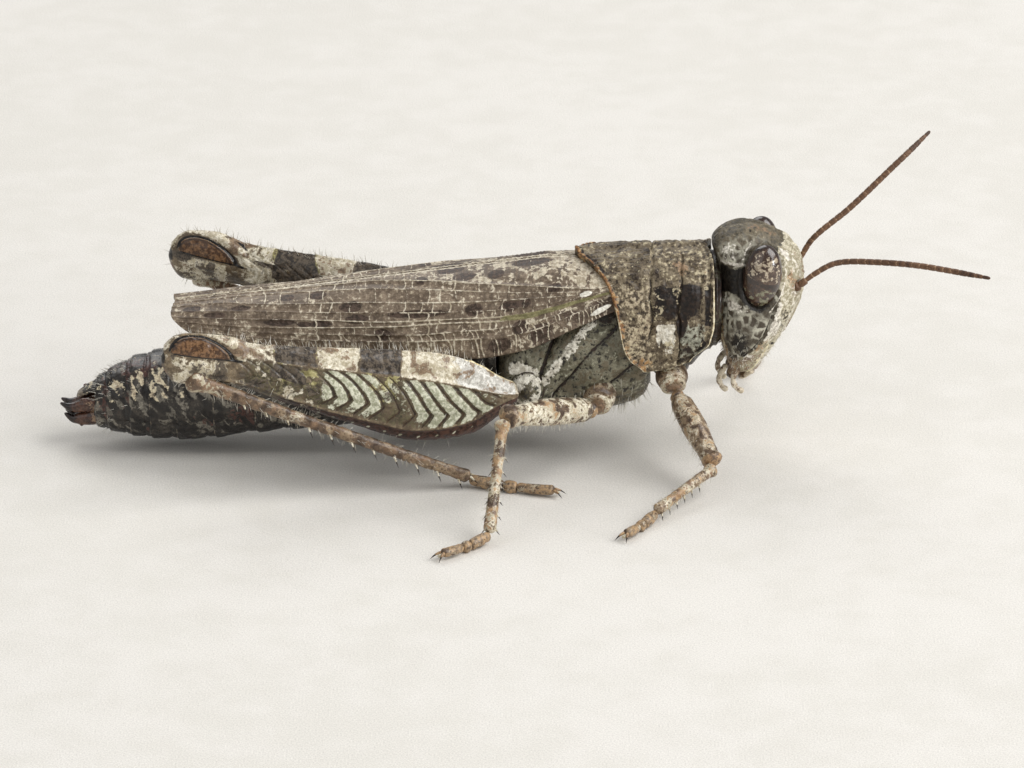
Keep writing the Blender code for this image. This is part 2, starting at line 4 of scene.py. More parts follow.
import bpy
import numpy as np
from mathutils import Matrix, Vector


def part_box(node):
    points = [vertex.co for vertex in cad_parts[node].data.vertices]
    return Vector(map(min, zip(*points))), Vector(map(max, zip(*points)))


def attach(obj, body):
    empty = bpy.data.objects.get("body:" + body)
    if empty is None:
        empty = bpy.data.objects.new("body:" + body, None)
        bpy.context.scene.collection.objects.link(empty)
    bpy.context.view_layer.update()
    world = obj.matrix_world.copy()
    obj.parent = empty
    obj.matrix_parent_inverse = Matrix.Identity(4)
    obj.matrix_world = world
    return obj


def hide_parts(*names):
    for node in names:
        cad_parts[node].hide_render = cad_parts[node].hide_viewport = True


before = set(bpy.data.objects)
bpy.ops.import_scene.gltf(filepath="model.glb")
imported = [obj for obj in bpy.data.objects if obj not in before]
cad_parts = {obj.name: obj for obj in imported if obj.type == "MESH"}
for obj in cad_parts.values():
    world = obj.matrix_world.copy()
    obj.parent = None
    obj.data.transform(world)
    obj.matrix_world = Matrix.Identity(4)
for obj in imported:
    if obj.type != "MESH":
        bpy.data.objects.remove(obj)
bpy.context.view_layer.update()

# Every shape below is drawn in millimetres on the animal's own axes: x to the head, y to its left, z up
mm = 0.001
eyeLow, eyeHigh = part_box("eye_right")
eyeCentre = np.array((7.68, 1.28, 6.09))
shift = (np.array(eyeLow) + np.array(eyeHigh)) / 2 / mm - eyeCentre * (1, -1, 1)
scene = bpy.context.scene
sides = {"left": 1, "right": -1}
triangles = []
cellFactors = (73856093, 19349663, 83492791)  # large primes, so that neighbouring cells differ


def paint(code):
    parts = [int(code[i:i + 2], 16) / 255 for i in (1, 3, 5)]
    return tuple(p / 12.92 if p < 0.04045 else ((p + 0.055) / 1.055) ** 2.4 for p in parts) + (1.0,)


def curve(points):
    # smooth line through a few (place, value) pairs that never overshoots them
    places = np.array([p[0] for p in points], float)
    values = np.array([p[1] for p in points], float)
    rise = np.diff(values) / np.diff(places)
    slope = np.zeros(len(points))
    slope[0] = rise[0]
    slope[-1] = rise[-1]
    sameWay = rise[:-1] * rise[1:] > 0
    total = np.where(sameWay, rise[:-1] + rise[1:], 1)
    slope[1:-1] = np.where(sameWay, 2 * rise[:-1] * rise[1:] / total, 0)

    def value(place):
        place = np.clip(place, places[0], places[-1])
        i = np.clip(np.searchsorted(places, place) - 1, 0, len(places) - 2)
        step = places[i + 1] - places[i]
        t = (place - places[i]) / step
        start = (1 + 2 * t) * (1 - t) ** 2 * values[i] + t * (1 - t) ** 2 * step * slope[i]
        end = t * t * (3 - 2 * t) * values[i + 1] + t * t * (t - 1) * step * slope[i + 1]
        return start + end

    return value


def fade(value, low, high):
    # 0 up to low, 1 from high on, smooth between
    t = np.clip((value - low) / (high - low), 0, 1)
    return t * t * (3 - 2 * t)


def bell(value, width):
    # 1 at zero, nearly 0 from twice the width on
    return np.exp(-(value / width) ** 2)


def power(value, exponent):
    # a power that keeps the sign
    return np.sign(value) * np.abs(value) ** exponent


def patch(a, b, centre, reach, tilt=0.0, soft=0.5):
    # 1 inside a tilted oval, 0 outside, one half on its edge
    turn = math.radians(tilt)
    along = ((a - centre[0]) * math.cos(turn) + (b - centre[1]) * math.sin(turn)) / reach[0]
    across = ((b - centre[1]) * math.cos(turn) - (a - centre[0]) * math.sin(turn)) / reach[1]
    return np.clip(0.5 + (1 - np.hypot(along, across)) / (2 * soft), 0, 1)


def strip(value, low, high, soft):
    # 1 between low and high, one half on both edges
    return np.clip(0.5 + np.minimum(value - low, high - value) / (2 * soft), 0, 1)


def most(*layers):
    # the strongest of several layers at each point
    return functools.reduce(np.maximum, layers)


def limited(**marks):
    # every mark held between 0 and 1
    return {key: np.clip(value, 0, 1) for key, value in marks.items()}


def chance(cell, seed):
    # one steady number, 0 to 1, for each whole-number cell
    mixed = seed * 7919 + 17
    for axis, factor in enumerate(cellFactors):
        mixed = cell[..., axis] * factor ^ mixed
    mixed = (mixed ^ (mixed >> 13)) * 1274126177 & 0x7fffffff
    return ((mixed ^ (mixed >> 15)) & 0xffff) / 65535


def noise(points, size, seed=0):
    # smooth lumps of about the given size, from -1 to 1
    scaled = points / size
    low = np.floor(scaled).astype(np.int64)
    part = scaled - low
    part = part * part * (3 - 2 * part)
    total = 0
    for corner in range(8):
        step = np.array((corner & 1, corner >> 1 & 1, corner >> 2 & 1))
        total = total + np.prod(np.where(step, part, 1 - part), axis=-1) * chance(low + step, seed)
    return total * 2 - 1


def normals(points, wrapped=True):
    # outward unit normals of a grid of points
    along = np.gradient(points, axis=0)
    if wrapped:
        around = np.roll(points, -1, axis=1) - np.roll(points, 1, axis=1)
    else:
        around = np.gradient(points, axis=1)
    found = np.cross(along, around)
    found /= np.maximum(np.linalg.norm(found, axis=-1, keepdims=True), 1e-12)
    outward = (found * (points - points.mean(axis=1, keepdims=True))).sum()
    return found if outward > 0 else -found


def raised(points, height, wrapped=True):
    # the same skin pushed out along its normals
    return points + normals(points, wrapped) * height[..., None]


def newShape():
    return {"points": [], "quads": [], "tris": [], "marks": [], "count": 0}


def addFaces(shape, points, quads, tris, marks, side=1):
    # side -1 mirrors this closed part; its faces are turned to look outwards
    points = points * (1, side, 1)
    both = np.concatenate([tris, quads[:, (0, 1, 2)], quads[:, (0, 2, 3)]])
    a, b, c = points[both[:, 0]], points[both[:, 1]], points[both[:, 2]]
    if (np.cross(b, c) * a).sum() < 0:
        quads = quads[:, ::-1]
        tris = tris[:, ::-1]
    shape["points"].append(points)
    shape["quads"].append(quads + shape["count"])
    shape["tris"].append(tris + shape["count"])
    shape["marks"].append(marks)
    shape["count"] += len(points)


def gridQuads(rows, columns, wrapped):
    row = np.arange(rows - 1)[:, None] * columns
    column = np.arange(columns if wrapped else columns - 1)[None, :]
    nxt = (column + 1) % columns
    return np.stack([row + column, row + nxt, row + columns + nxt, row + columns + column], -1).reshape(-1, 4)


def addTube(shape, points, tips, side=1, **marks):
    # closed skin over rows of rings, with a point at each end
    rows, columns = points.shape[:2]
    count = rows * columns
    column = np.arange(columns)
    nxt = (column + 1) % columns
    last = (rows - 1) * columns
    first = np.stack([nxt, column, np.full(columns, count)], -1)
    final = np.stack([last + column, last + nxt, np.full(columns, count + 1)], -1)
    full = {}
    for name, value in marks.items():
        value = np.broadcast_to(value, (rows, columns))
        full[name] = np.concatenate([value.ravel(), [value[0].mean(), value[-1].mean()]])
    everything = np.concatenate([points.reshape(-1, 3), np.array(tips, float)])
    addFaces(shape, everything, gridQuads(rows, columns, True), np.concatenate([first, final]), full, side)


def addSheet(shape, outer, inner, side=1, **marks):
    # two skins of one thin plate, joined along all four edges; the inner one has fewer columns
    rows, wide = outer.shape[:2]
    narrow = inner.shape[1]
    start = rows * wide
    quads = [gridQuads(rows, wide, False), gridQuads(rows, narrow, False)[:, ::-1] + start]
    row = np.arange(rows - 1)
    for a, b in ((0, 0), (wide - 1, narrow - 1)):
        edge = np.stack([row * wide + a, (row + 1) * wide + a,
                         start + (row + 1) * narrow + b, start + row * narrow + b], -1)
        quads.append(edge if a == 0 else edge[:, ::-1])
    tris = []
    share = (wide - 1) / (narrow - 1)
    for r in (0, rows - 1):
        made = []
        for j in range(wide - 1):
            made.append((r * wide + j + 1, r * wide + j, start + r * narrow + int(j / share)))
        for k in range(narrow - 1):
            corner = math.ceil((k + 1) * share)
            made.append((r * wide + corner, start + r * narrow + k, start + r * narrow + k + 1))
        made = np.array(made)
        tris.append(made if r == 0 else made[:, ::-1])
    full = {}
    for name, value in marks.items():
        value = np.broadcast_to(value, (rows, wide))
        under = value[:, np.linspace(0, wide - 1, narrow).astype(int)]
        full[name] = np.concatenate([value.ravel(), under.ravel()])
    everything = np.concatenate([outer.reshape(-1, 3), inner.reshape(-1, 3)])
    addFaces(shape, everything, np.concatenate(quads), np.concatenate(tris), full, side)


def makePiece(name, shape, finish, slotName, *nodes):
    points = (np.concatenate(shape["points"]) + shift) * mm
    quads = np.concatenate(shape["quads"])
    tris = np.concatenate(shape["tris"])
    mesh = bpy.data.meshes.new(name)
    mesh.vertices.add(len(points))
    mesh.vertices.foreach_set("co", points.astype(np.float32).ravel())
    loops = np.concatenate([quads.ravel(), tris.ravel()]).astype(np.int32)
    starts = np.concatenate([np.arange(len(quads)) * 4, len(quads) * 4 + np.arange(len(tris)) * 3])
    mesh.loops.add(len(loops))
    mesh.loops.foreach_set("vertex_index", loops)
    mesh.polygons.add(len(starts))
    mesh.polygons.foreach_set("loop_start", starts.astype(np.int32))
    mesh.update(calc_edges=True)
    mesh.validate()
    mesh.shade_smooth()
    for mark in sorted({key for part in shape["marks"] for key in part}):
        values = []
        for part, placed in zip(shape["marks"], shape["points"]):
            values.append(part.get(mark, np.zeros(len(placed))))
        layer = mesh.attributes.new(mark, "FLOAT", "POINT")
        layer.data.foreach_set("value", np.concatenate(values).astype(np.float32))
    mesh.materials.append(finish)
    piece = bpy.data.objects.new(name, mesh)
    scene.collection.objects.link(piece)
    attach(piece, "root")
    if nodes:
        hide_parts(*nodes)
    triangles.append((name, len(quads) * 2 + len(tris)))
    return piece


hairForm = {
    "size": 0.011, "sides": 3, "steps": (0.0, 0.45, 0.8), "sag": 0.14, "spread": 0.24, "patch": 0.003,
    # each coat: how many hairs, how long they are, and its seed
    "coats": {"breast": (620, 0.3, 0), "thigh": (240, 0.3, 1), "shin": (220, 0.22, 2),
              "walkingShin": (130, 0.17, 3), "walkingThigh": (130, 0.2, 4), "tail": (130, 0.24, 6),
              "face": (220, 0.12, 7)},
}
hairLook = {
    "ground": ("#b9b2a2", "#e9e4d8"), "lump": 0.6, "grain": 3.0, "gritty": 0.2,
    "layers": (("dark", "#5b4c3e", "#83715f", 0.3),),
    "rough": (0.35, 0.5), "bump": 0.002,
}


def plantHairs(name, skin, where, coat, lean, slotName, side=1):
    # fine tapered hairs rooted on a skin, thicker where the weight is; OFBake keeps each root's place
    form = hairForm
    count, length, seed = form["coats"][coat]
    random = np.random.default_rng(900 + seed)
    rows, columns = skin.shape[:2]
    weight = np.clip(np.broadcast_to(where, (rows, columns)), 0, 1).ravel()
    pick = random.choice(rows * columns, count, replace=False, p=weight / weight.sum())
    root = skin.reshape(-1, 3)[pick]
    spread = random.normal(0, form["spread"], (count, 3))
    way = normals(skin).reshape(-1, 3)[pick] + np.array(lean, float) + spread
    way /= np.linalg.norm(way, axis=1, keepdims=True)
    across = np.cross(way, (0.31, 0.9, 0.17))
    across /= np.linalg.norm(across, axis=1, keepdims=True)
    other = np.cross(way, across)
    reach = (length * random.uniform(0.55, 1.2, count))[:, None, None]
    step = np.array(form["steps"])[None, :, None]
    centre = root[:, None] + way[:, None] * (reach * step - 0.02)
    centre = centre - reach * step ** 2 * (0, 0, form["sag"])
    turn = 2 * math.pi * np.arange(form["sides"]) / form["sides"]
    ring = across[:, None, None] * np.cos(turn)[:, None] + other[:, None, None] * np.sin(turn)[:, None]
    points = centre[:, :, None] + ring * (form["size"] * (1 - 0.8 * step))[..., None]
    tip = root + (way - (0, 0, form["sag"])) * reach[:, 0]
    levels, around = len(form["steps"]), form["sides"]
    each = levels * around + 1
    hair = np.concatenate([points.reshape(count, -1, 3), tip[:, None]], 1).reshape(-1, 3)
    hair[:, 2] = np.maximum(hair[:, 2], 0.005)
    column = np.arange(around)
    cap = np.stack([(levels - 1) * around + column, (levels - 1) * around + (column + 1) % around,
                    np.full(around, each - 1)], -1)
    start = (np.arange(count) * each)[:, None, None]
    quads = (gridQuads(levels, around, True)[None] + start).reshape(-1, 4)
    tris = (np.concatenate([cap, [(2, 1, 0)]])[None] + start).reshape(-1, 3)
    shape = newShape()
    addFaces(shape, hair, quads, tris, {"dark": np.zeros(len(hair))}, side)
    piece = makePiece(name, shape, hairFinish, slotName)
    place = np.stack([pick % columns / columns, pick // columns / rows], -1) * 0.99 + 0.005
    local = np.stack([np.tile(column / around, levels), np.repeat(step.ravel(), around)], -1)
    local = np.concatenate([local, [(0.5, 1.0)]]) - 0.5
    spots = (place[:, None] + local * form["patch"]).reshape(-1, 2)
    bake = piece.data.uv_layers.new(name="OFBake")
    corners = np.empty(len(piece.data.loops), np.int32)
    piece.data.loops.foreach_get("vertex_index", corners)
    bake.data.foreach_set("uv", spots[corners].astype(np.float32).ravel())


def line(start, end, bow=(0, 0, 0)):
    # straight path, moved by bow at mid-length
    low = np.array(start, float)
    high = np.array(end, float)
    lift = np.array(bow, float)
    return lambda t: low + (high - low) * t[:, None] + lift * (4 * t * (1 - t))[:, None]


def route(points):
    # smooth path through a few points
    points = np.array(points, float)
    chords = np.concatenate([[0], np.cumsum(np.linalg.norm(np.diff(points, axis=0), axis=1))])
    axes = [curve(list(zip(chords / chords[-1], points[:, axis]))) for axis in range(3)]
    return lambda t: np.stack([follow(t) for follow in axes], -1)


def steady(value):
    return lambda t: np.full_like(t, value)


def tube(path, wide, tall, hint=(0, 0, 1), rows=60, columns=24, ends=(0.1, 0.1), roundness=2.0):
    # rings along a path with rounded ends: points, how far along, and the angle from the side
    fine = path(np.linspace(0, 1, 200))
    length = np.linalg.norm(np.diff(fine, axis=0), axis=1).sum()
    first, last = ends[0] / length, ends[1] / length
    bend = 1 - np.cos(np.linspace(0, math.pi / 2, 9))
    t = np.concatenate([first * bend[1:-1], np.linspace(first, 1 - last, rows), 1 - last * bend[::-1][1:-1]])
    heading = path(np.minimum(t + 0.004, 1)) - path(np.maximum(t - 0.004, 0))
    heading /= np.linalg.norm(heading, axis=1, keepdims=True)
    up = np.array(hint, float) - heading * (heading @ np.array(hint, float))[:, None]
    up /= np.linalg.norm(up, axis=1, keepdims=True)
    across = np.cross(heading, up)
    closed = np.sqrt(np.maximum(1 - (1 - np.minimum(t / first, 1)) ** 2, 0))
    closed = closed * np.sqrt(np.maximum(1 - (1 - np.minimum((1 - t) / last, 1)) ** 2, 0))
    turn = 2 * math.pi * (np.arange(columns) + 0.5) / columns
    sideways = power(np.cos(turn), 2 / roundness)[None, :, None] * (wide(t) * closed)[:, None, None]
    upward = power(np.sin(turn), 2 / roundness)[None, :, None] * (tall(t) * closed)[:, None, None]
    points = path(t)[:, None, :] + across[:, None, :] * sideways + up[:, None, :] * upward
    ends = path(np.array((0.0, 1.0)))
    return points, t[:, None], turn[None, :], ends


def shellMaterial(name, look):
    # mottled cuticle: two ground colours, specks, an optional pale net, then marks laid over one another
    made = bpy.data.materials.new(name)
    made.use_nodes = True
    nodes = made.node_tree.nodes
    links = made.node_tree.links
    shader = nodes["Principled BSDF"]

    def add(kind, values, settings=()):
        node = nodes.new("ShaderNode" + kind)
        for key, value in settings:
            setattr(node, key, value)
        for key, value in values.items():
            if isinstance(value, bpy.types.NodeSocket):
                links.new(value, node.inputs[key])
            else:
                node.inputs[key].default_value = value
        return node.outputs

    def sums(kind, a, b):
        return add("Math", {0: a, 1: b}, [("operation", kind)])[0]

    def vectors(kind, a, b):
        return add("VectorMath", {0: a, 1: b}, [("operation", kind)])[0]

    def blend(amount, a, b):
        return add("MixRGB", {"Fac": amount, "Color1": a, "Color2": b})[0]

    def within(value, low, high):
        return add("MapRange", {"Value": value, "From Min": low, "From Max": high},
                   [("interpolation_type", "SMOOTHSTEP")])[0]

    def lumps(scale, detail, roughness=0.6):
        return add("TexNoise", {"Vector": place, "Scale": scale, "Detail": detail, "Roughness": roughness})[0]

    def mark(key):
        return add("Attribute", {}, [("attribute_name", key)])["Fac"]

    position = add("TexCoord", {})["Object"]
    place = add("VectorMath", {0: position, "Scale": 1 / mm}, [("operation", "SCALE")])[0]
    lump = lumps(look.get("lump", 1.6), 4.0)
    grain = lumps(look.get("grain", 9.0), 3.0, 0.65)
    grit = lumps(look.get("grit", 20.0), 2.0)
    ragged = sums("ADD", sums("MULTIPLY", sums("SUBTRACT", lump, 0.5), 1.2),
                  sums("MULTIPLY", sums("SUBTRACT", grain, 0.5), 2.4))
    low, high = look["ground"]
    colour = blend(within(sums("ADD", sums("MULTIPLY", lump, 0.5), sums("MULTIPLY", grain, 0.5)), 0.4, 0.6),
                   paint(low), paint(high))
    if "speck" in look:
        speckColour, level = look["speck"]
        colour = blend(within(grain, level, level + 0.05), colour, paint(speckColour))
    if "fleck" in look:
        fleckColour, level = look["fleck"]
        colour = blend(within(grain, level, level - 0.05), colour, paint(fleckColour))
    height = grain
    if "net" in look:
        netColour, cellColour, size, width = look["net"]
        warp = add("TexNoise", {"Vector": place, "Scale": size * 1.3, "Detail": 1.0})[1]
        bent = vectors("ADD", place, vectors("MULTIPLY", warp, (0.5 / size, 0.5 / size, 0.5 / size)))
        nearest = add("TexVoronoi", {"Vector": bent, "Scale": size}, [("feature", "DISTANCE_TO_EDGE")])
        edge = sums("ADD", nearest["Distance"], sums("MULTIPLY", ragged, 0.1))
        lace = within(edge, width * 1.5, width * 0.35)
        net = mark("net")
        faint = blend(within(lump, 0.35, 0.6), paint(cellColour), paint(netColour))
        colour = blend(net, colour, blend(lace, paint(cellColour), faint))
        height = sums("ADD", height, sums("MULTIPLY", sums("MULTIPLY", lace, net), 0.4))
    for key, one, two, rough in look.get("layers", ()):
        amount = within(sums("ADD", mark(key), sums("MULTIPLY", ragged, rough)), 0.42, 0.58)
        colour = blend(amount, colour, blend(within(grain, 0.42, 0.6), paint(one), paint(two)))
    shade = sums("ADD", sums("MULTIPLY", grit, look.get("gritty", 0.7)), 1 - look.get("gritty", 0.7) / 2)
    colour = add("VectorMath", {0: colour, "Scale": shade}, [("operation", "SCALE")])[0]
    links.new(colour, shader.inputs["Base Color"])
    smooth, dull = look.get("rough", (0.35, 0.6))
    finish = add("MapRange", {"Value": grain, "From Min": 0.35, "From Max": 0.65,
                              "To Min": smooth, "To Max": dull})[0]
    if "gloss" in look:
        finish = sums("SUBTRACT", finish, sums("MULTIPLY", mark("gloss"), look["gloss"]))
    links.new(finish, shader.inputs["Roughness"])
    shader.inputs["Specular IOR Level"].default_value = look.get("shine", 0.28)
    shader.inputs["Coat Weight"].default_value = look.get("coat", 0.0)
    shader.inputs["Coat Roughness"].default_value = 0.12
    pits = add("TexVoronoi", {"Vector": place, "Scale": look.get("pits", 9.0)})["Distance"]
    height = sums("ADD", height, sums("MULTIPLY", pits, look.get("pitted", 0.3)))
    height = sums("ADD", height, sums("MULTIPLY", grit, 0.3))
    bump = add("Bump", {"Height": height, "Strength": 1.0, "Distance": look.get("bump", 0.03) * mm})[0]
    links.new(bump, shader.inputs["Normal"])
    return made


studio = {
    "tilt": 22.0, "distance": 160.0, "lens": 180.0, "aim": 1.998, "floor": 1.5,
    "room": "#eef0f2", "roomLight": 0.38, "lampDistance": 0.3,
    # each lamp: the way to it, how wide it is and its power
    "lamps": {"key": ((0.68, -0.16, 0.72), 0.24, 0.85), "fill": ((-0.5, -0.6, 0.6), 0.26, 0.15),
              "back": ((-0.2, 0.6, 0.7), 0.2, 0.3), "front": ((0.84, -0.5, 0.2), 0.06, 0.2)},
}
floorLook = {
    "ground": ("#d9d5cd", "#dedad3"), "lump": 0.05, "grain": 0.6, "rough": (0.7, 0.8), "bump": 0.01,
}


def buildStudio():
    # camera a little above the animal's right side; soft key from the upper front, weak fill and back lights
    tilt = math.radians(studio["tilt"])
    lens = bpy.data.cameras.new("camera")
    lens.lens = studio["lens"]
    lens.sensor_width = 36
    lens.clip_start = 0.001
    camera = bpy.data.objects.new("camera", lens)
    away = np.array((0, -math.cos(tilt), math.sin(tilt))) * studio["distance"]
    camera.location = Vector((shift + (0, 0, studio["aim"]) + away) * mm)
    camera.rotation_euler = (math.pi / 2 - tilt, 0, 0)
    scene.collection.objects.link(camera)
    scene.camera = camera
    for name, (way, size, strength) in studio["lamps"].items():
        light = bpy.data.lights.new(name, "AREA")
        light.size = size
        light.energy = strength
        lamp = bpy.data.objects.new(name, light)
        lamp.location = Vector(way).normalized() * studio["lampDistance"]
        lamp.rotation_euler = Vector(way).to_track_quat("Z", "Y").to_euler()
        scene.collection.objects.link(lamp)
    room = bpy.data.worlds.new("room")
    room.use_nodes = True
    room.node_tree.nodes["Background"].inputs["Color"].default_value = paint(studio["room"])
    room.node_tree.nodes["Background"].inputs["Strength"].default_value = studio["roomLight"]
    scene.world = room
    scene.view_settings.view_transform = "Standard"
    mesh = bpy.data.meshes.new("floor")
    reach = studio["floor"]
    corners = [(-reach, -reach, 0), (reach, -reach, 0), (reach, reach, 0), (-reach, reach, 0)]
    mesh.from_pydata(corners, [], [(0, 1, 2, 3)])
    mesh.materials.append(shellMaterial("paleFloor", floorLook))
    floor = bpy.data.objects.new("floor", mesh)
    scene.collection.objects.link(floor)



buildStudio()
hairFinish = shellMaterial("paleHair", hairLook)
print("studio ready")

# Head: an upright egg drawn as level sections
headForm = {
    "front": [(2.9, 7.76), (3.6, 8.25), (4.4, 8.66), (5.4, 9.0), (6.1, 8.97), (6.75, 8.6), (7.15, 8.1),
              (7.3, 7.82), (7.38, 7.55), (7.405, 7.3)],
    "back": [(2.9, 6.75), (3.6, 6.48), (4.4, 6.32), (6.2, 6.31), (6.8, 6.16), (7.1, 6.35), (7.3, 6.7),
             (7.38, 7.0), (7.405, 7.2)],
    "half": [(2.9, 1.22), (3.6, 1.55), (4.4, 1.72), (5.3, 1.6), (6.2, 1.36), (6.8, 1.08), (7.2, 0.72),
             (7.3, 0.58), (7.38, 0.38), (7.405, 0.06)],
    "levels": [(0, 2.9), (0.84, 6.9), (0.94, 7.28), (0.985, 7.385), (1, 7.405)],
    "rows": 210, "columns": 260, "pitDepth": 0.02, "socket": (8.84, 0.8, 5.58), "hollow": 8.35,
    "ocelli": (((8.5, 0.72, 6.27), 0.085), ((8.5, -0.72, 6.27), 0.085), ((8.99, 0, 5.75), 0.075)),
    # by height: half widths of the face's ridges, the x of its lines, and the groove's own slope
    "ridge": [(2.9, 0.5), (3.6, 0.42), (4.6, 0.32), (5.5, 0.3), (6.3, 0.2), (6.8, 0.38), (7.1, 0.5)],
    "outerRidge": [(3.0, 0.9), (4.0, 1.08), (5.0, 1.08), (5.5, 1.0)],
    "groove": [(3.3, 6.7), (3.47, 7.06), (3.77, 7.42), (4.07, 7.67), (4.61, 7.94), (5.19, 8.14)],
    "grooveLean": [(3.3, 0.45), (3.6, 0.6), (4.1, 0.85), (5.2, 0.95)],
    "lip": [(2.6, 6.8), (3.07, 7.46), (3.74, 7.86), (4.1, 8.0)],
    "border": [(2.9, 6.7), (3.3, 6.8), (3.77, 7.5), (4.07, 7.73), (4.61, 7.99), (5.5, 8.22), (6.5, 8.2),
               (7.4, 7.8)],
}
headLook = {
    "ground": ("#403a2d", "#716754"), "lump": 1.9, "grain": 9.0, "speck": ("#a99f8a", 0.62),
    "fleck": ("#35302a", 0.38),
    "net": ("#b9b5a4", "#473f34", 3.3, 0.15),
    "layers": (("face", "#938a72", "#cec6b0", 0.5), ("brown", "#625040", "#85705a", 0.8),
               ("warm", "#7d634a", "#a98d6c", 0.5), ("pale", "#b3ab9e", "#e2dccf", 0.5),
               ("dark", "#110e0b", "#25201a", 0.45), ("rim", "#c4b795", "#e0d6b8", 0.3)),
    "rough": (0.36, 0.58), "gloss": 0.1, "coat": 0.08, "bump": 0.03, "pits": 8.0,
}
eyeForm = {"half": (0.61, 0.52, 1.02), "tilt": -8.0, "rows": 110, "columns": 120}
eyeLook = {
    "ground": ("#35251d", "#5c4738"), "lump": 2.4, "grain": 9.0,
    "layers": (("cream", "#7f6e5b", "#b8aa94", 0.9), ("olive", "#615c47", "#85816a", 0.7),
               ("dark", "#1b110d", "#34241c", 0.35)),
    "rough": (0.14, 0.22), "coat": 0.8, "shine": 0.4, "pits": 22.0, "pitted": 0.5, "bump": 0.006,
}


def headSkin():
    form = headForm
    front, back, half = curve(form["front"]), curve(form["back"]), curve(form["half"])
    z = curve(form["levels"])(np.linspace(0, 1, form["rows"]))[:, None]
    turn = 2 * math.pi * np.arange(form["columns"])[None, :] / form["columns"]
    middle = (front(z) + back(z)) / 2
    reach = (front(z) - back(z)) / 2
    x = middle + power(np.cos(turn), 0.85) * reach
    taper = 0.2 + 0.13 * (1 - fade(z, 3.0, 4.6))
    y = power(np.sin(turn), 0.9) * half(z) * (1 - taper * np.cos(turn))
    return np.stack([x, y, z + 0 * x], -1)


def eyeFrame(points):
    # place of a point in the nearer eye's own axes, in eye radii
    tilt = math.radians(eyeForm["tilt"])
    dx = points[..., 0] - eyeCentre[0]
    dz = points[..., 2] - eyeCentre[2]
    along = dx * math.cos(tilt) + dz * math.sin(tilt)
    up = dz * math.cos(tilt) - dx * math.sin(tilt)
    return along / eyeForm["half"][0], up / eyeForm["half"][2]


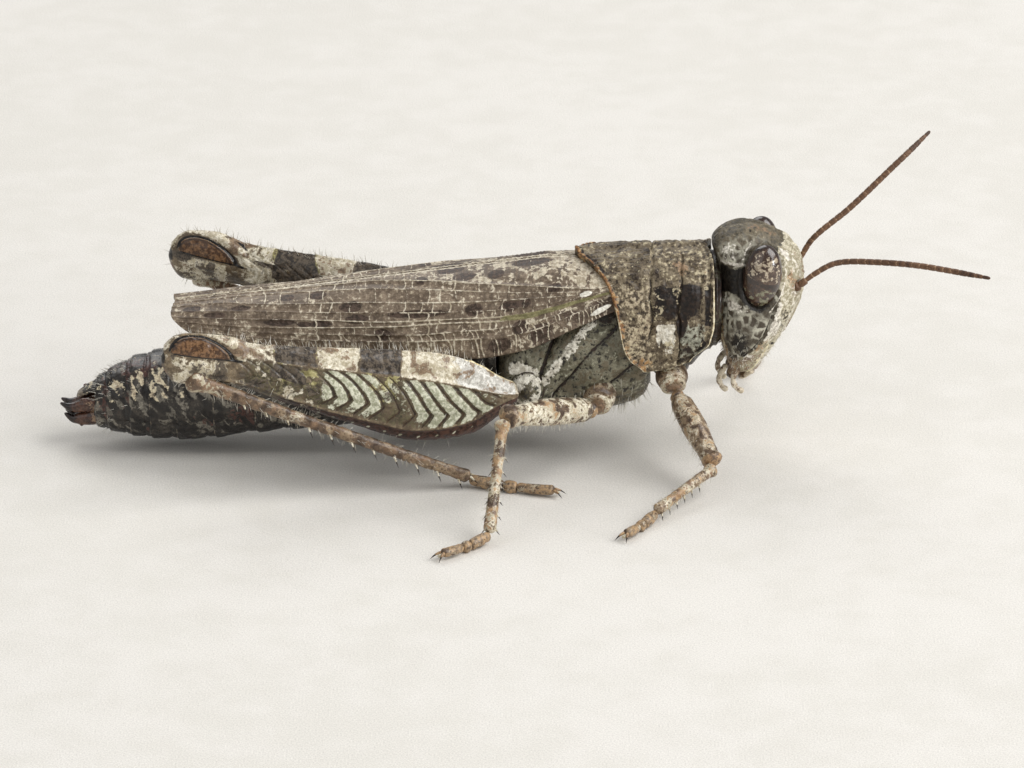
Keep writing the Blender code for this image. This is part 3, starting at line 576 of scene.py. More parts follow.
def buildHead():
    form = headForm
    points = headSkin()
    x, y, z = points[..., 0], np.abs(points[..., 1]), points[..., 2]
    keys = ("ridge", "outerRidge", "groove", "grooveLean", "lip", "border")
    ridge, outerRidge, grooveLine, grooveLean, lipLine, border = (curve(form[key])(z) for key in keys)
    side = fade(y, 0.55, 0.95)
    forward = fade(x, 8.15, 8.6)
    height = 0.06 * bell(y - ridge, 0.055) * forward * fade(z, 3.3, 3.7)
    height -= 0.07 * fade(ridge - y, 0.0, 0.12) * forward * fade(z, 3.2, 3.9)
    height += 0.05 * bell(y - outerRidge, 0.06) * fade(x, 7.7, 8.0) * strip(z, 3.1, 5.2, 0.3)
    aside = (x - grooveLine) * grooveLean
    length = side * strip(z, 3.32, 5.2, 0.08)
    groove = bell(aside, 0.05) * length
    height -= 0.07 * groove
    height += 0.035 * bell(aside - 0.12, 0.07) * length
    lip = bell((x - lipLine) * 0.7, 0.04) * side * (1 - fade(z, 3.8, 4.0))
    jaw = fade(aside, 0.0, 0.08) * (1 - fade(x - lipLine, -0.06, 0.02)) * side * (1 - fade(z, 4.0, 4.2))
    height += 0.04 * lip - 0.02 * jaw
    along, up = eyeFrame(points)
    ring = np.hypot(along, up)
    height += 0.05 * bell(ring - 1.12, 0.08) * side
    height -= 0.25 * (1 - fade(ring, 0.75, 1.0)) * side
    socketX, socketY, socketZ = form["socket"]
    socket = np.sqrt((x - socketX) ** 2 + (y - socketY) ** 2 + (z - socketZ) ** 2)
    height += 0.06 * bell(socket - 0.25, 0.06) - 0.05 * (1 - fade(socket, 0.1, 0.22))
    cheekEdge = curve(form["back"])(z) + 0.26
    behind = fade(y, 0.7, 1.0) * (1 - fade(z, 5.3, 6.0))
    height -= 0.04 * bell(x - cheekEdge, 0.045) * behind
    height += 0.03 * bell(x - cheekEdge + 0.15, 0.09) * behind
    height -= 0.05 * bell(z - 3.3 - 0.5 * (x - 7.6), 0.045) * fade(x, 6.9, 7.1)
    hollow = np.hypot((x - form["hollow"]) / 0.3, y / 0.34)
    height -= 0.06 * (1 - fade(hollow, 0.3, 1.0)) * fade(z, 6.4, 6.6)
    height += 0.04 * bell(hollow - 1.15, 0.15) * fade(z, 6.4, 6.6)
    height -= 0.025 * bell(y, 0.03) * fade(z, 6.9, 7.1) * (1 - fade(x, 7.7, 8.0))
    pitted = np.clip(fade(x, 7.9, 8.3) + fade(z, 6.5, 6.8), 0, 1)
    height -= form["pitDepth"] * fade(noise(points, 0.13, 3), 0.15, 0.5) * (0.35 + 0.65 * pitted)
    height += 0.014 * noise(points, 0.3, 4)
    skin = raised(points, height)

    drift, fine = noise(points, 0.45, 5), noise(points, 0.2, 6)
    ahead = x - border
    crown = fade(z + 0.06 * drift, 6.7, 7.0)
    cheek = side * (1 - fade(ahead, -0.05, 0.05)) * (1 - 0.8 * crown)
    face = fade(ahead, -0.03, 0.1) * (1 - crown)
    flank = patch(x, z, (8.15, 4.5), (0.42, 0.75), -25, 0.9) * face * side
    band = strip(z + 0.12 * drift, 5.5, 6.34, 0.13) * fade(7.9 - x, 0.0, 0.25)
    underEye = patch(x, z, (7.46, 5.4), (0.52, 0.3), -33, 0.5)
    black = most(band, 0.95 * underEye) * cheek
    lowCheek = 0.68 * patch(x, z, (7.0, 3.98), (0.38, 0.6), 18, 0.9) * cheek
    dark = most(
        black,
        lowCheek + 0.1 * fine,
        0.56 * groove,
        0.62 * patch(x, z, (8.0, 3.84), (0.12, 0.08), -20, 0.6) * side,
        0.48 * bell(ring - 1.03, 0.035) * side * (1 - fade(up + along, 0.0, 0.5)),
        # painted shade: darker at the back of the head, where the saddle plate overhangs it
        0.48 * fade(6.5 - x, 0.0, 0.3) * fade(z, 6.3, 6.6))
    pale = most(
        0.85 * bell(z - 6.45, 0.06) * strip(x, 6.3, 7.2, 0.12),
        0.5 * patch(x, z, (6.68, 6.78), (0.4, 0.32), 0, 0.9),
        0.62 * patch(x, z, (6.86, 5.2), (0.42, 0.2), -14, 0.7),
        0.58 * bell(ring - 1.16, 0.07) * fade(up, 0.1, 0.5)) * side
    pale = most(
        pale,
        0.62 * bell(ring - 1.18, 0.07) * fade(along, 0.3, 0.6) * side,
        0.9 * bell(aside - 0.12, 0.07) * side * strip(z, 4.0, 5.3, 0.15),
        0.9 * patch(x, z, (8.4, 6.6), (0.3, 0.07), -45, 0.5) * fade(y, 0.3, 0.5),
        (0.42 + 0.25 * drift) * face * fade(y, 0.3, 0.5))
    brown = most(
        (0.34 + 0.25 * drift + 0.1 * fine) * face,
        0.9 * patch(x, z, (8.55, 6.02), (0.07, 0.07)) * face * side,
        0.42 * strip(y, 0.22, 0.5, 0.08) * crown * strip(x, 7.2, 8.2, 0.2),
        0.62 * patch(x, z, (6.95, 3.25), (0.35, 0.28), 0, 0.8) * side,
        (0.64 + 0.2 * drift) * jaw * (1 - fade(z, 3.5, 3.8)))
    rear = (1 - fade(x - cheekEdge + 0.03, -0.1, 0.05)) * fade(y, 0.7, 1.0)
    warm = most(
        0.55 * bell(socket - 0.28, 0.13),
        0.58 * patch(x, z, (8.62, 5.92), (0.26, 0.45), 0, 0.8) * side,
        0.5 * jaw * fade(z, 3.5, 3.8),
        0.5 * (1 - fade(z - 0.5 * (x - 7.6), 3.0, 3.3)) * fade(x, 6.7, 7.1),
        0.75 * rear * (1 - fade(z, 5.0, 5.4)))
    rearRim = 0.62 * bell(x - cheekEdge + 0.12, 0.05) * fade(y, 0.8, 1.1) * strip(z, 3.5, 5.1, 0.2)
    net = np.clip(cheek + 0.3 * crown * side + 0.8 * flank, 0, 1) * (1 - black) * (1 - 0.5 * lowCheek)
    marks = limited(face=face * (1 - 0.55 * flank), brown=brown, warm=warm, pale=pale, dark=dark,
                    rim=most(rearRim, 0.7 * lip), net=net, gloss=black)
    shape = newShape()
    addTube(shape, skin, ((7.3, 0, 2.9), (7.25, 0, 7.406)), **marks)
    addOcelli(shape)
    makePiece("headCapsule", shape, shellMaterial("headShell", headLook), "head_shell", "head")
    low = (1 - fade(z, 3.3, 4.3)) * fade(z, 2.95, 3.1) + 0.08 * face
    plantHairs("faceHairs", skin, low, "face", (0.1, 0, -0.5), "head_shell")


def addOcelli(shape):
    # three small glassy beads: one beside each feeler and one on the face
    turn = np.linspace(0, 2 * math.pi, 17)[:-1][None, :]
    rise = np.linspace(0.1, math.pi - 0.1, 12)[:, None]
    ball = np.stack([np.cos(rise) + 0 * turn, np.sin(rise) * np.cos(turn), np.sin(rise) * np.sin(turn)], -1)
    for centre, size in headForm["ocelli"]:
        points = ball * size + centre
        tips = (points[0].mean(axis=0), points[-1].mean(axis=0))
        addTube(shape, points, tips, brown=1.0, gloss=1.0)


def buildEyes():
    form = eyeForm
    finish = shellMaterial("eyeGlass", eyeLook)
    tilt = math.radians(form["tilt"])
    turn = 2 * math.pi * np.arange(form["columns"])[None, :] / form["columns"]
    rise = np.linspace(0.02, math.pi - 0.02, form["rows"])[:, None]
    for name, side in sides.items():
        along = np.sin(rise) * np.cos(turn)
        out = np.sin(rise) * np.sin(turn)
        up = np.cos(rise) + 0 * turn
        local = np.stack([along, out, up], -1) * form["half"]
        x = local[..., 0] * math.cos(tilt) - local[..., 2] * math.sin(tilt)
        z = local[..., 0] * math.sin(tilt) + local[..., 2] * math.cos(tilt)
        points = np.stack([x, local[..., 1], z], -1) + eyeCentre
        mottle = 0.9 * noise(points, 0.11, 11 + side) + 0.25 * noise(points, 0.4, 13 + side)
        streaks = noise(points * (1.0, 1.0, 1.8), 0.15, 15 + side)
        edge = bell(np.hypot(along, up) - 1.0, 0.16)
        cream = 0.36 + 0.45 * mottle + 0.2 * fade(up, -0.1, 0.25) - 0.5 * edge
        olive = (0.42 + 0.5 * streaks) * fade(-up - 0.1 * along, 0.12, 0.3) - 0.3 * edge
        band = 0.75 * bell(up + 0.12 + 0.12 * along, 0.13) + 0.4 * mottle * bell(up + 0.12, 0.3) + 0.6 * edge
        shape = newShape()
        tips = (points[0].mean(axis=0), points[-1].mean(axis=0))
        marks = limited(cream=cream, olive=olive, dark=band)
        marks["cream"] = marks["cream"] * fade(up, -0.2, 0.0)
        addTube(shape, points, tips, side, **marks)
        makePiece("eye" + name.title(), shape, finish, "eye", "eye_" + name)


antennaForm = {
    "right": [(8.68, 0.76, 5.5), (8.93, 0.85, 5.68), (9.3, 0.84, 5.98), (9.95, 0.84, 6.34),
              (11.05, 1.2, 6.52), (12.8, 2.05, 6.66), (14.55, 2.88, 6.62)],
    "left": [(8.68, 0.76, 5.5), (8.9, 0.86, 5.76), (9.32, 0.88, 6.48), (10.46, 1.2, 7.38),
             (12.07, 1.9, 8.74), (13.05, 2.66, 9.44)],
    "thickness": [(0, 0.15), (0.028, 0.16), (0.036, 0.09), (0.045, 0.115), (0.07, 0.115), (0.078, 0.075),
                  (0.12, 0.088), (0.5, 0.098), (0.85, 0.092), (1, 0.05)],
    "base": 0.075, "joints": 24, "waist": 0.012,
}
antennaLook = {
    "ground": ("#58402f", "#7b5c45"), "lump": 2.0, "grain": 14.0,
    "layers": (("pale", "#7f634c", "#a3866a", 0.8), ("dark", "#3b2a21", "#533d30", 0.8)),
    "rough": (0.35, 0.5), "bump": 0.012, "pits": 20.0,
}


def buildAntennae():
    finish = shellMaterial("antennaHorn", antennaLook)
    form = antennaForm
    size = curve(form["thickness"])
    for name, side in sides.items():
        points, t, turn, tips = tube(route(form[name]), size, lambda s: 0.86 * size(s), (0, 1, 0), 430, 14,
                                     (0.08, 0.1))
        whip = t > form["base"]
        beat = np.clip((t - form["base"]) / (1 - form["base"]), 0, 1) * form["joints"]
        edge = np.minimum(beat % 1, 1 - beat % 1) * whip + 0.5 * ~whip
        points = raised(points, (-form["waist"] * bell(edge, 0.09) + 0 * turn))
        odd = chance(np.stack([np.floor(beat), 0 * beat, 0 * beat], -1).astype(np.int64), 5)
        dark = 0.25 * (odd > 0.45) + 0.3 * fade(t, 0.6, 1) + 0.25 * bell(edge - 0.5, 0.2)
        shape = newShape()
        addTube(shape, points, tips, side, pale=0.55 * bell(edge, 0.1) * whip, dark=np.clip(dark, 0, 1))
        makePiece("antenna" + name.title(), shape, finish, "antenna", "antenna_" + name)


mouthLook = {
    "ground": ("#806b57", "#ab9780"), "lump": 2.6, "grain": 9.0, "speck": ("#cfc2aa", 0.6),
    "fleck": ("#5a4739", 0.38),
    "layers": (("dark", "#3a2a20", "#5c4535", 0.6), ("pale", "#b9ab93", "#ddd2bd", 0.6)),
    "rough": (0.3, 0.5), "coat": 0.2, "bump": 0.02,
}
mouthForm = {
    "labrum": ((7.64, 0, 3.02), (7.04, 0, 2.3)), "jaw": ((7.06, 0.46, 2.98), (6.78, 0.36, 2.38)),
    "maxillary": [(6.95, 0.98, 2.95), (6.86, 1.02, 2.52), (6.98, 0.98, 2.26), (7.2, 0.93, 2.12)],
    "labial": [(6.66, 0.56, 2.9), (6.44, 0.56, 2.42), (6.54, 0.53, 2.14), (6.72, 0.52, 2.0)],
    "palpSize": [(0, 0.085), (0.3, 0.098), (0.36, 0.075), (0.62, 0.094), (0.68, 0.072), (0.93, 0.096),
                 (1, 0.07)],
    "labrumWide": [(0, 0.66), (0.35, 0.64), (0.75, 0.54), (1, 0.36)], "labrumDeep": [(0, 0.19), (1, 0.11)],
    "jawWide": [(0, 0.24), (1, 0.16)], "jawDeep": [(0, 0.24), (1, 0.17)],
}


def buildMouth():
    form = mouthForm
    finish = shellMaterial("mouthHorn", mouthLook)
    shape = newShape()
    wide = curve(form["labrumWide"])
    points, t, turn, tips = tube(line(*form["labrum"], (0.05, 0, -0.03)), wide, curve(form["labrumDeep"]),
                                 (1, 0, 0), 60, 72, (0.08, 0.16), 2.4)
    y = points[..., 1]
    points = raised(points, -0.05 * bell(y, 0.07) * fade(t, 0.5, 1) - 0.04 * bell(t - 0.36, 0.04)
                    + 0.03 * bell(t - 0.46, 0.06) + 0.01 * noise(points, 0.1, 21))
    rough = 0.2 * noise(points, 0.25, 22)
    addTube(shape, points, tips, dark=0.6 * bell(t - 0.36, 0.04) + 0.2 * fade(t, 0.8, 1) + rough,
            pale=0.62 * bell(t - 0.5, 0.12) + 0.5 * bell(np.abs(y) - wide(t), 0.12) + rough)
    makePiece("labrumPlate", shape, finish, "mouthparts", "labrum")
    size = curve(form["palpSize"])
    for name, side in sides.items():
        shape = newShape()
        points, t, turn, tips = tube(line(*form["jaw"]), curve(form["jawWide"]), curve(form["jawDeep"]),
                                     (1, 0, 0), 40, 40, (0.1, 0.2))
        points = raised(points, 0.02 * np.sin(turn * 6) * fade(t, 0.7, 1))
        addTube(shape, points, tips, side, dark=0.8 * fade(t, 0.5, 0.9) + 0 * turn)
        makePiece("mandible" + name.title(), shape, finish, "mouthparts", "mandible_" + name)
        for label in ("maxillary", "labial"):
            shape = newShape()
            points, t, turn, tips = tube(route(form[label]), size, size, (0, 1, 0), 70, 20, (0.08, 0.09))
            bands = bell(t - 0.34, 0.04) + bell(t - 0.66, 0.04)
            addTube(shape, points, tips, side, dark=0.6 * bands + 0.2 * noise(points, 0.3, 23) + 0 * turn,
                    pale=0.5 + 0.3 * fade(t, 0.72, 0.9) + 0 * turn)
            makePiece("palp" + label.title() + name.title(), shape, finish, "mouthparts",
                      "palp_" + label + "_" + name)


buildHead()
buildEyes()
buildAntennae()
buildMouth()
print("head ready")

# Saddle plate behind the head, drawn from its ridge down to both hems
pronotumForm = {
    "hind": [(0, 1.95), (0.3, 2.62), (0.56, 3.06), (0.75, 3.26), (0.9, 3.42), (0.96, 3.62), (1, 4.05)],
    "front": [(0, 6.02), (0.3, 6.2), (0.8, 6.24), (0.93, 6.1), (1, 5.5)],
    "ridge": [(1.9, 6.46), (3.0, 6.55), (4.4, 6.63), (6.3, 6.66)],
    "half": [(1.9, 2.04), (3.2, 2.0), (4.6, 1.84), (6.3, 1.8)],
    "hem": [(0, 3.1), (0.5, 3.18), (1, 3.44)],
    "shoulder": [(1.9, 0.44), (3.6, 0.4), (4.6, 0.34), (5.4, 0.33), (6.3, 0.38)],
    "columns": 401, "rows": 190, "thickness": 0.16, "grooves": (4.32, 5.12, 5.74), "grooveDepth": 0.085,
}
pronotumLook = {
    "ground": ("#524636", "#877a63"), "lump": 2.4, "grain": 8.0, "speck": ("#b9ac90", 0.58),
    "fleck": ("#332a21", 0.43),
    "layers": (("tan", "#82725c", "#b4a68c", 0.8), ("orange", "#6f4a2b", "#a67f50", 0.6),
               ("pale", "#bfb7a6", "#e9e4d7", 0.3), ("grey", "#7b7a6c", "#a9a897", 0.6),
               ("dark", "#150e0a", "#2b1f16", 0.5), ("cream", "#8f826a", "#bdb193", 0.7),
               ("rust", "#75604a", "#9d8468", 0.8), ("rim", "#cdbd97", "#efe6cb", 0.2)),
    "rough": (0.4, 0.6), "gloss": 0.12, "coat": 0.12, "bump": 0.035, "pits": 8.0, "pitted": 0.4,
}


def saddle(inset, columns, rows):
    # u runs from hem (-1) over the ridge (0) to hem (1), v from the hind edge (0) to the front (1)
    form = pronotumForm
    u = np.linspace(-1, 1, columns)[None, :]
    v = np.linspace(0, 1, rows)[:, None]
    wide = np.abs(u)
    hind, front = curve(form["hind"])(wide), curve(form["front"])(wide)
    x = hind + (front - hind) * v
    hem = curve(form["hem"])(v)
    drop = np.cos(wide * math.pi / 2) ** (2 / 2.6)
    reach = np.sin(wide * math.pi / 2) ** (2 / 2.6) * (1 - 0.07 * wide ** 4)
    y = np.sign(u) * reach * (curve(form["half"])(x) - inset)
    z = hem + (curve(form["ridge"])(x) - inset - hem) * drop
    return np.stack([x, y, z], -1), u + 0 * v, v + 0 * u


def buildPronotum():
    form = pronotumForm
    outer, u, v = saddle(0.0, form["columns"], form["rows"])
    inner = saddle(form["thickness"], 41, form["rows"])[0]
    wide = np.abs(u)
    x, z = outer[..., 0], outer[..., 2]
    bend = 0.1 * noise(outer, 0.42, 31)
    first, second, third = form["grooves"]
    grooves = (0.8 * bell(x - first - bend + 0.1 * wide, 0.05) * fade(z, 3.6, 4.4)
               + 0.85 * bell(x - second - bend - 0.04 * (z - 4.5), 0.045) * fade(wide, 0.08, 0.2)
               + 0.5 * bell(x - third - bend, 0.05) * strip(z, 4.0, 6.2, 0.2) * fade(wide, 0.3, 0.4)
               + 0.7 * bell(z - 4.72 - bend, 0.05) * strip(x, 4.35, 5.1, 0.06) * fade(wide, 0.4, 0.5))
    keel = bell(u, 0.022) * (1 - 0.9 * np.clip(grooves, 0, 1))
    shoulders = bell(wide - curve(form["shoulder"])(x), 0.03) * (1 - fade(x, 3.9, 4.3))
    height = 0.1 * keel + 0.03 * shoulders - form["grooveDepth"] * grooves
    frontEdge, hindEdge = curve(form["front"])(wide) - x, x - curve(form["hind"])(wide)
    hemEdge = z - curve(form["hem"])(v)
    low, fine = noise(outer, 0.42, 36), noise(outer, 0.2, 38)
    rim = most(bell(frontEdge - 0.05, 0.05), 0.8 * bell(hindEdge - 0.04, 0.05),
               0.9 * bell(hemEdge - 0.03, 0.06) * fade(wide, 0.8, 0.9))
    height += 0.045 * rim - 0.03 * bell(frontEdge - 0.18, 0.07)
    lobe = fade(wide, 0.45, 0.55)
    frontSwell = patch(x, z, (5.45, 5.62), (0.26, 0.42), 14, 0.9)
    midSwell = patch(x, z, (4.72, 5.4), (0.34, 0.5), 0, 0.9)
    height += 0.1 * (frontSwell + 0.8 * midSwell) * lobe
    hindPart = 1 - fade(x, first - 0.1, first)
    stretched = outer * (0.35, 1.0, 1.0)
    height += 0.03 * noise(stretched, 0.09, 33) * hindPart * (0.3 + 0.7 * (1 - fade(wide, 0.4, 0.7)))
    height += 0.022 * noise(outer, 0.11, 34) + 0.02 * noise(outer, 0.3, 35)
    height += 0.05 * np.maximum(noise(outer, 0.22, 30), 0) * (1 - fade(wide, 0.3, 0.45)) * fade(x, 4.2, 4.5)
    skin = raised(outer, height, False)

    shiftX, shiftZ = x + 0.14 * low, z + 0.16 * fine
    midBlack = patch(shiftX, shiftZ, (4.72, 5.34), (0.46, 0.68), 0, 0.5)
    dark = most(
        (0.92 + 0.3 * low) * midBlack * fade(shiftZ, 4.66, 4.86),
        patch(shiftX, shiftZ, (5.44, 5.5), (0.4, 0.58), 14, 0.5),
        0.85 * patch(shiftX, z, (5.26, 4.72), (0.17, 0.62), 0, 0.5),
        0.7 * patch(x, shiftZ, (5.4, 3.78), (0.36, 0.16), 0, 0.8)) * lobe
    blotch = fade(noise(outer, 0.3, 37), 0.0, 0.25)
    dashes = bell(hindEdge - 0.13, 0.08) * fade(fine, -0.05, 0.2)
    dark = most(
        dark,
        0.6 * patch(x, wide, (4.45, 0.4), (0.16, 0.14), 0, 0.9),
        (0.3 + 0.3 * low) * hindPart * (1 - fade(wide, 0.5, 0.6)),
        0.85 * dashes * (1 - fade(wide, 0.62, 0.7)),
        0.72 * grooves * (0.5 + 0.5 * fade(wide, 0.3, 0.5)),
        0.85 * strip(frontEdge, 0.1, 0.32, 0.08) * blotch * lobe,
        0.6 * strip(hemEdge, 0.04, 0.3, 0.08) * fade(x, 4.9, 5.2) * lobe)
    square = strip(x, 4.44, 5.03, 0.05) * strip(z, 3.62, 4.66, 0.08)
    square = square * (0.42 + 0.5 * fade(z, 3.85, 4.3)) * lobe * (1 - 0.3 * fade(fine, 0.1, 0.4))
    pale = most(
        square,
        0.38 * strip(x, 3.9, 4.32, 0.1) * fade(z, 4.6, 5.4) * (1 - fade(z, 5.6, 5.9)) * lobe,
        0.55 * strip(z, 5.9, 6.25, 0.1) * strip(x, 5.5, 6.1, 0.15) * lobe)
    grey = (0.62 + 0.3 * noise(outer * (0.5, 1, 1.6), 0.3, 39))
    grey = grey * strip(x, 5.12, 5.98, 0.1) * strip(z, 3.5, 4.75, 0.2) * lobe
    blotches = 0.26 + 0.5 * noise(outer, 0.14, 40)
    cream = most(patch(x, z, (4.85, 5.65), (0.62, 0.5), 0, 0.6) * blotches * lobe,
                 0.24 + 0.2 * fine - 0.4 * patch(x, z, (5.35, 5.2), (0.5, 0.6)) * lobe)
    orange = most(
        (0.44 + 0.2 * low) * (1 - fade(hindEdge, 0.1, 0.4)) * lobe,
        0.5 * patch(x, z, (4.0, 3.4), (0.5, 0.22), 0, 0.8) * lobe,
        0.85 * bell(hindEdge - 0.05, 0.07) * (1 - 0.4 * fade(wide, 0.7, 0.8)))
    rust = 0.75 * patch(x, z, (5.2, 6.28), (0.22, 0.16), 0, 0.6)
    rust = rust + 0.4 * fine * bell(x - second, 0.3) * (1 - lobe)
    rimLine = most(
        0.75 * bell(frontEdge - 0.03, 0.035) * (1 - 0.6 * fade(z + 0.5 * fine, 5.6, 6.0)),
        0.7 * bell(hemEdge - 0.02, 0.04) * fade(wide, 0.8, 0.9),
        0.62 * bell(hindEdge - 0.02, 0.03) * fade(wide, 0.6, 0.7))
    marks = limited(dark=dark * (1 - square), pale=pale, grey=grey, orange=orange, rust=rust, cream=cream,
                    tan=(0.5 + 0.3 * low) * lobe * hindPart, rim=rimLine, gloss=dark * lobe)
    shape = newShape()
    addSheet(shape, skin, inner, 1, **marks)
    finish = shellMaterial("saddleShell", pronotumLook)
    makePiece("pronotumSaddle", shape, finish, "thorax_shell", "pronotum")


trunkForm = {
    "low": [(-0.4, 1.45), (1.0, 1.3), (2.8, 1.35), (3.6, 1.5), (4.1, 1.8), (4.3, 2.2)],
    "high": [(-0.4, 4.6), (1.0, 4.85), (1.9, 5.4), (2.8, 5.9), (4.3, 6.15)],
    "half": [(-0.4, 1.55), (0.6, 1.7), (2.2, 1.7), (3.3, 1.6), (4.3, 1.5)],
    "neckLow": [(4.3, 2.7), (4.6, 2.4), (5.2, 2.45), (6.0, 3.3), (6.45, 3.6)],
    "neckHigh": [(4.3, 6.15), (6.22, 6.36), (6.45, 6.3)],
    "neckHalf": [(4.3, 1.5), (5.6, 1.52), (6.22, 1.52), (6.45, 1.4)],
    "seams": ((0.72, 0.35), (1.62, 0.8), (3.05, 0.95)),
    "span": (-0.42, 4.3), "neckSpan": (4.32, 6.45), "rows": 210, "columns": 200, "taper": 0.16,
}
trunkLook = {
    "ground": ("#565242", "#8b8773"), "lump": 1.8, "grain": 6.5, "speck": ("#b3b29c", 0.58),
    "fleck": ("#2c2822", 0.43),
    "layers": (("brown", "#47402f", "#6c6350", 0.8), ("pale", "#bbb4a4", "#e6e1d3", 0.6),
               ("dark", "#1d1612", "#3a2d24", 0.6)),
    "rough": (0.32, 0.58), "gloss": 0.2, "coat": 0.25, "bump": 0.04, "pits": 6.0, "pitted": 0.5,
}


def bodyRings(x, low, high, half, columns, taper):
    turn = 2 * math.pi * (np.arange(columns)[None, :] + 0.5) / columns
    rise = power(np.sin(turn), 0.88)
    narrow = 1 - taper * np.maximum(rise, 0)
    y = power(np.cos(turn), 0.88) * half * narrow
    z = (low + high) / 2 + rise * (high - low) / 2
    return np.stack([x + 0 * rise, y, z], -1), turn + 0 * x


def buildTrunk():
    form = trunkForm
    x = np.linspace(*form["span"], form["rows"])[:, None]
    low, high, half = (curve(form[key])(x) for key in ("low", "high", "half"))
    close = np.sqrt(np.clip((x + 0.46) / 0.3, 0, 1)) * 0.15 + 0.85
    points = bodyRings(x, low, high, half * close, form["columns"], form["taper"])[0]
    y, z = np.abs(points[..., 1]), points[..., 2]
    side = fade(y, 0.7, 1.1)
    wave = 0.12 * noise(points, 0.8, 40)
    seams = sum(bell(x - foot - slope * (z - 2.6) + wave, 0.07) for foot, slope in form["seams"])
    height = 0.04 * noise(points, 0.5, 41)
    height -= 0.12 * seams * side
    height += 0.05 * np.sin((x - 0.75 * z) * 4.6) * side
    height += 0.02 * noise(points, 0.12, 42) - 0.05 * bell(z - 2.0 + wave, 0.08) * side
    bright = patch(x, z, (0.42, 3.05), (0.5, 0.26), -25, 0.5) * side
    stripe = bell(x - 1.7 - 0.8 * (z - 3.7) + wave, 0.26) * strip(z, 2.4, 4.8, 0.3) * side
    mottle = noise(points, 0.36, 44)
    dark = most(0.8 * seams * side, 0.6 * fade(z, 4.2, 4.7) + 0.2 * mottle,
                0.6 * (1 - fade(z, 1.5, 1.9)) + 0.2 * mottle)
    marks = limited(dark=dark, pale=most(bright, 0.66 * stripe), brown=0.35 + 0.5 * mottle, gloss=bright)
    shape = newShape()
    addTube(shape, raised(points, height), ((-0.5, 0, 2.9), (4.3, 0, 3.5)), **marks)
    makePiece("thoraxTrunk", shape, shellMaterial("trunkShell", trunkLook), "thorax_shell", "thorax")
    breast = (1 - fade(z, 1.7, 2.7)) + 0.03 * side
    plantHairs("breastHairs", points, breast, "breast", (-0.3, 0, -0.1), "thorax_shell")
    x = np.linspace(*form["neckSpan"], 70)[:, None]
    low, high, half = (curve(form[key])(x) for key in ("neckLow", "neckHigh", "neckHalf"))
    points, turn = bodyRings(x, low, high, half, 100, form["taper"])
    folds = bell(x - 6.12, 0.06) + bell(x - 6.3, 0.05) - bell(x - 5.5 + 0.3 * (points[..., 2] - 3), 0.06)
    skin = raised(points, 0.05 * folds + 0.015 * noise(points, 0.15, 43))
    shape = newShape()
    addTube(shape, skin, ((4.3, 0, 3.6), (6.46, 0, 4.8)), dark=0.62 + 0.2 * noise(points, 0.3, 45),
            pale=0.3 * bell(x - 6.05, 0.08) + 0 * turn)
    makePiece("neckShield", shape, shellMaterial("neckShell", trunkLook), "thorax_shell", "prothorax")


abdomenForm = {
    "edges": (-0.5, -2.3, -4.1, -5.6, -6.9, -8.0, -9.27, -10.45, -11.3, -11.9, -12.62, -13.0),
    "middle": [(-13.05, 1.42), (-11.8, 1.62), (-9.8, 1.78), (-8.5, 2.02), (-4.0, 2.62), (0, 3.0)],
    "half": [(-13.02, 0.62), (-12.9, 0.76), (-12.5, 0.94), (-11.8, 1.19), (-10.6, 1.37), (-8.5, 1.5),
             (-4.0, 1.62), (-0.5, 1.62)],
    "lip": 0.055, "rows": 560, "columns": 160,
    # the plate over the tail: root, tip and bow, then its half width and half depth
    "plate": ((-12.9, 0, 2.0), (-13.62, 0, 1.62), (0, 0, 0.03)),
    "plateWide": [(0, 0.46), (0.5, 0.38), (1, 0.18)], "plateDeep": [(0, 0.14), (1, 0.07)],
}
abdomenLook = {
    "ground": ("#211d19", "#3f3932"), "lump": 2.2, "grain": 8.0, "speck": ("#5f5a50", 0.6),
    "layers": (("grey", "#5c574e", "#857f73", 0.4), ("red", "#33211b", "#553830", 0.5),
               ("dark", "#110e0c", "#221c18", 0.4), ("cream", "#a1917a", "#d6c9ab", 0.7),
               ("rim", "#6f6456", "#978a78", 0.3)),
    "rough": (0.24, 0.42), "coat": 0.35, "bump": 0.02, "pits": 7.0,
}


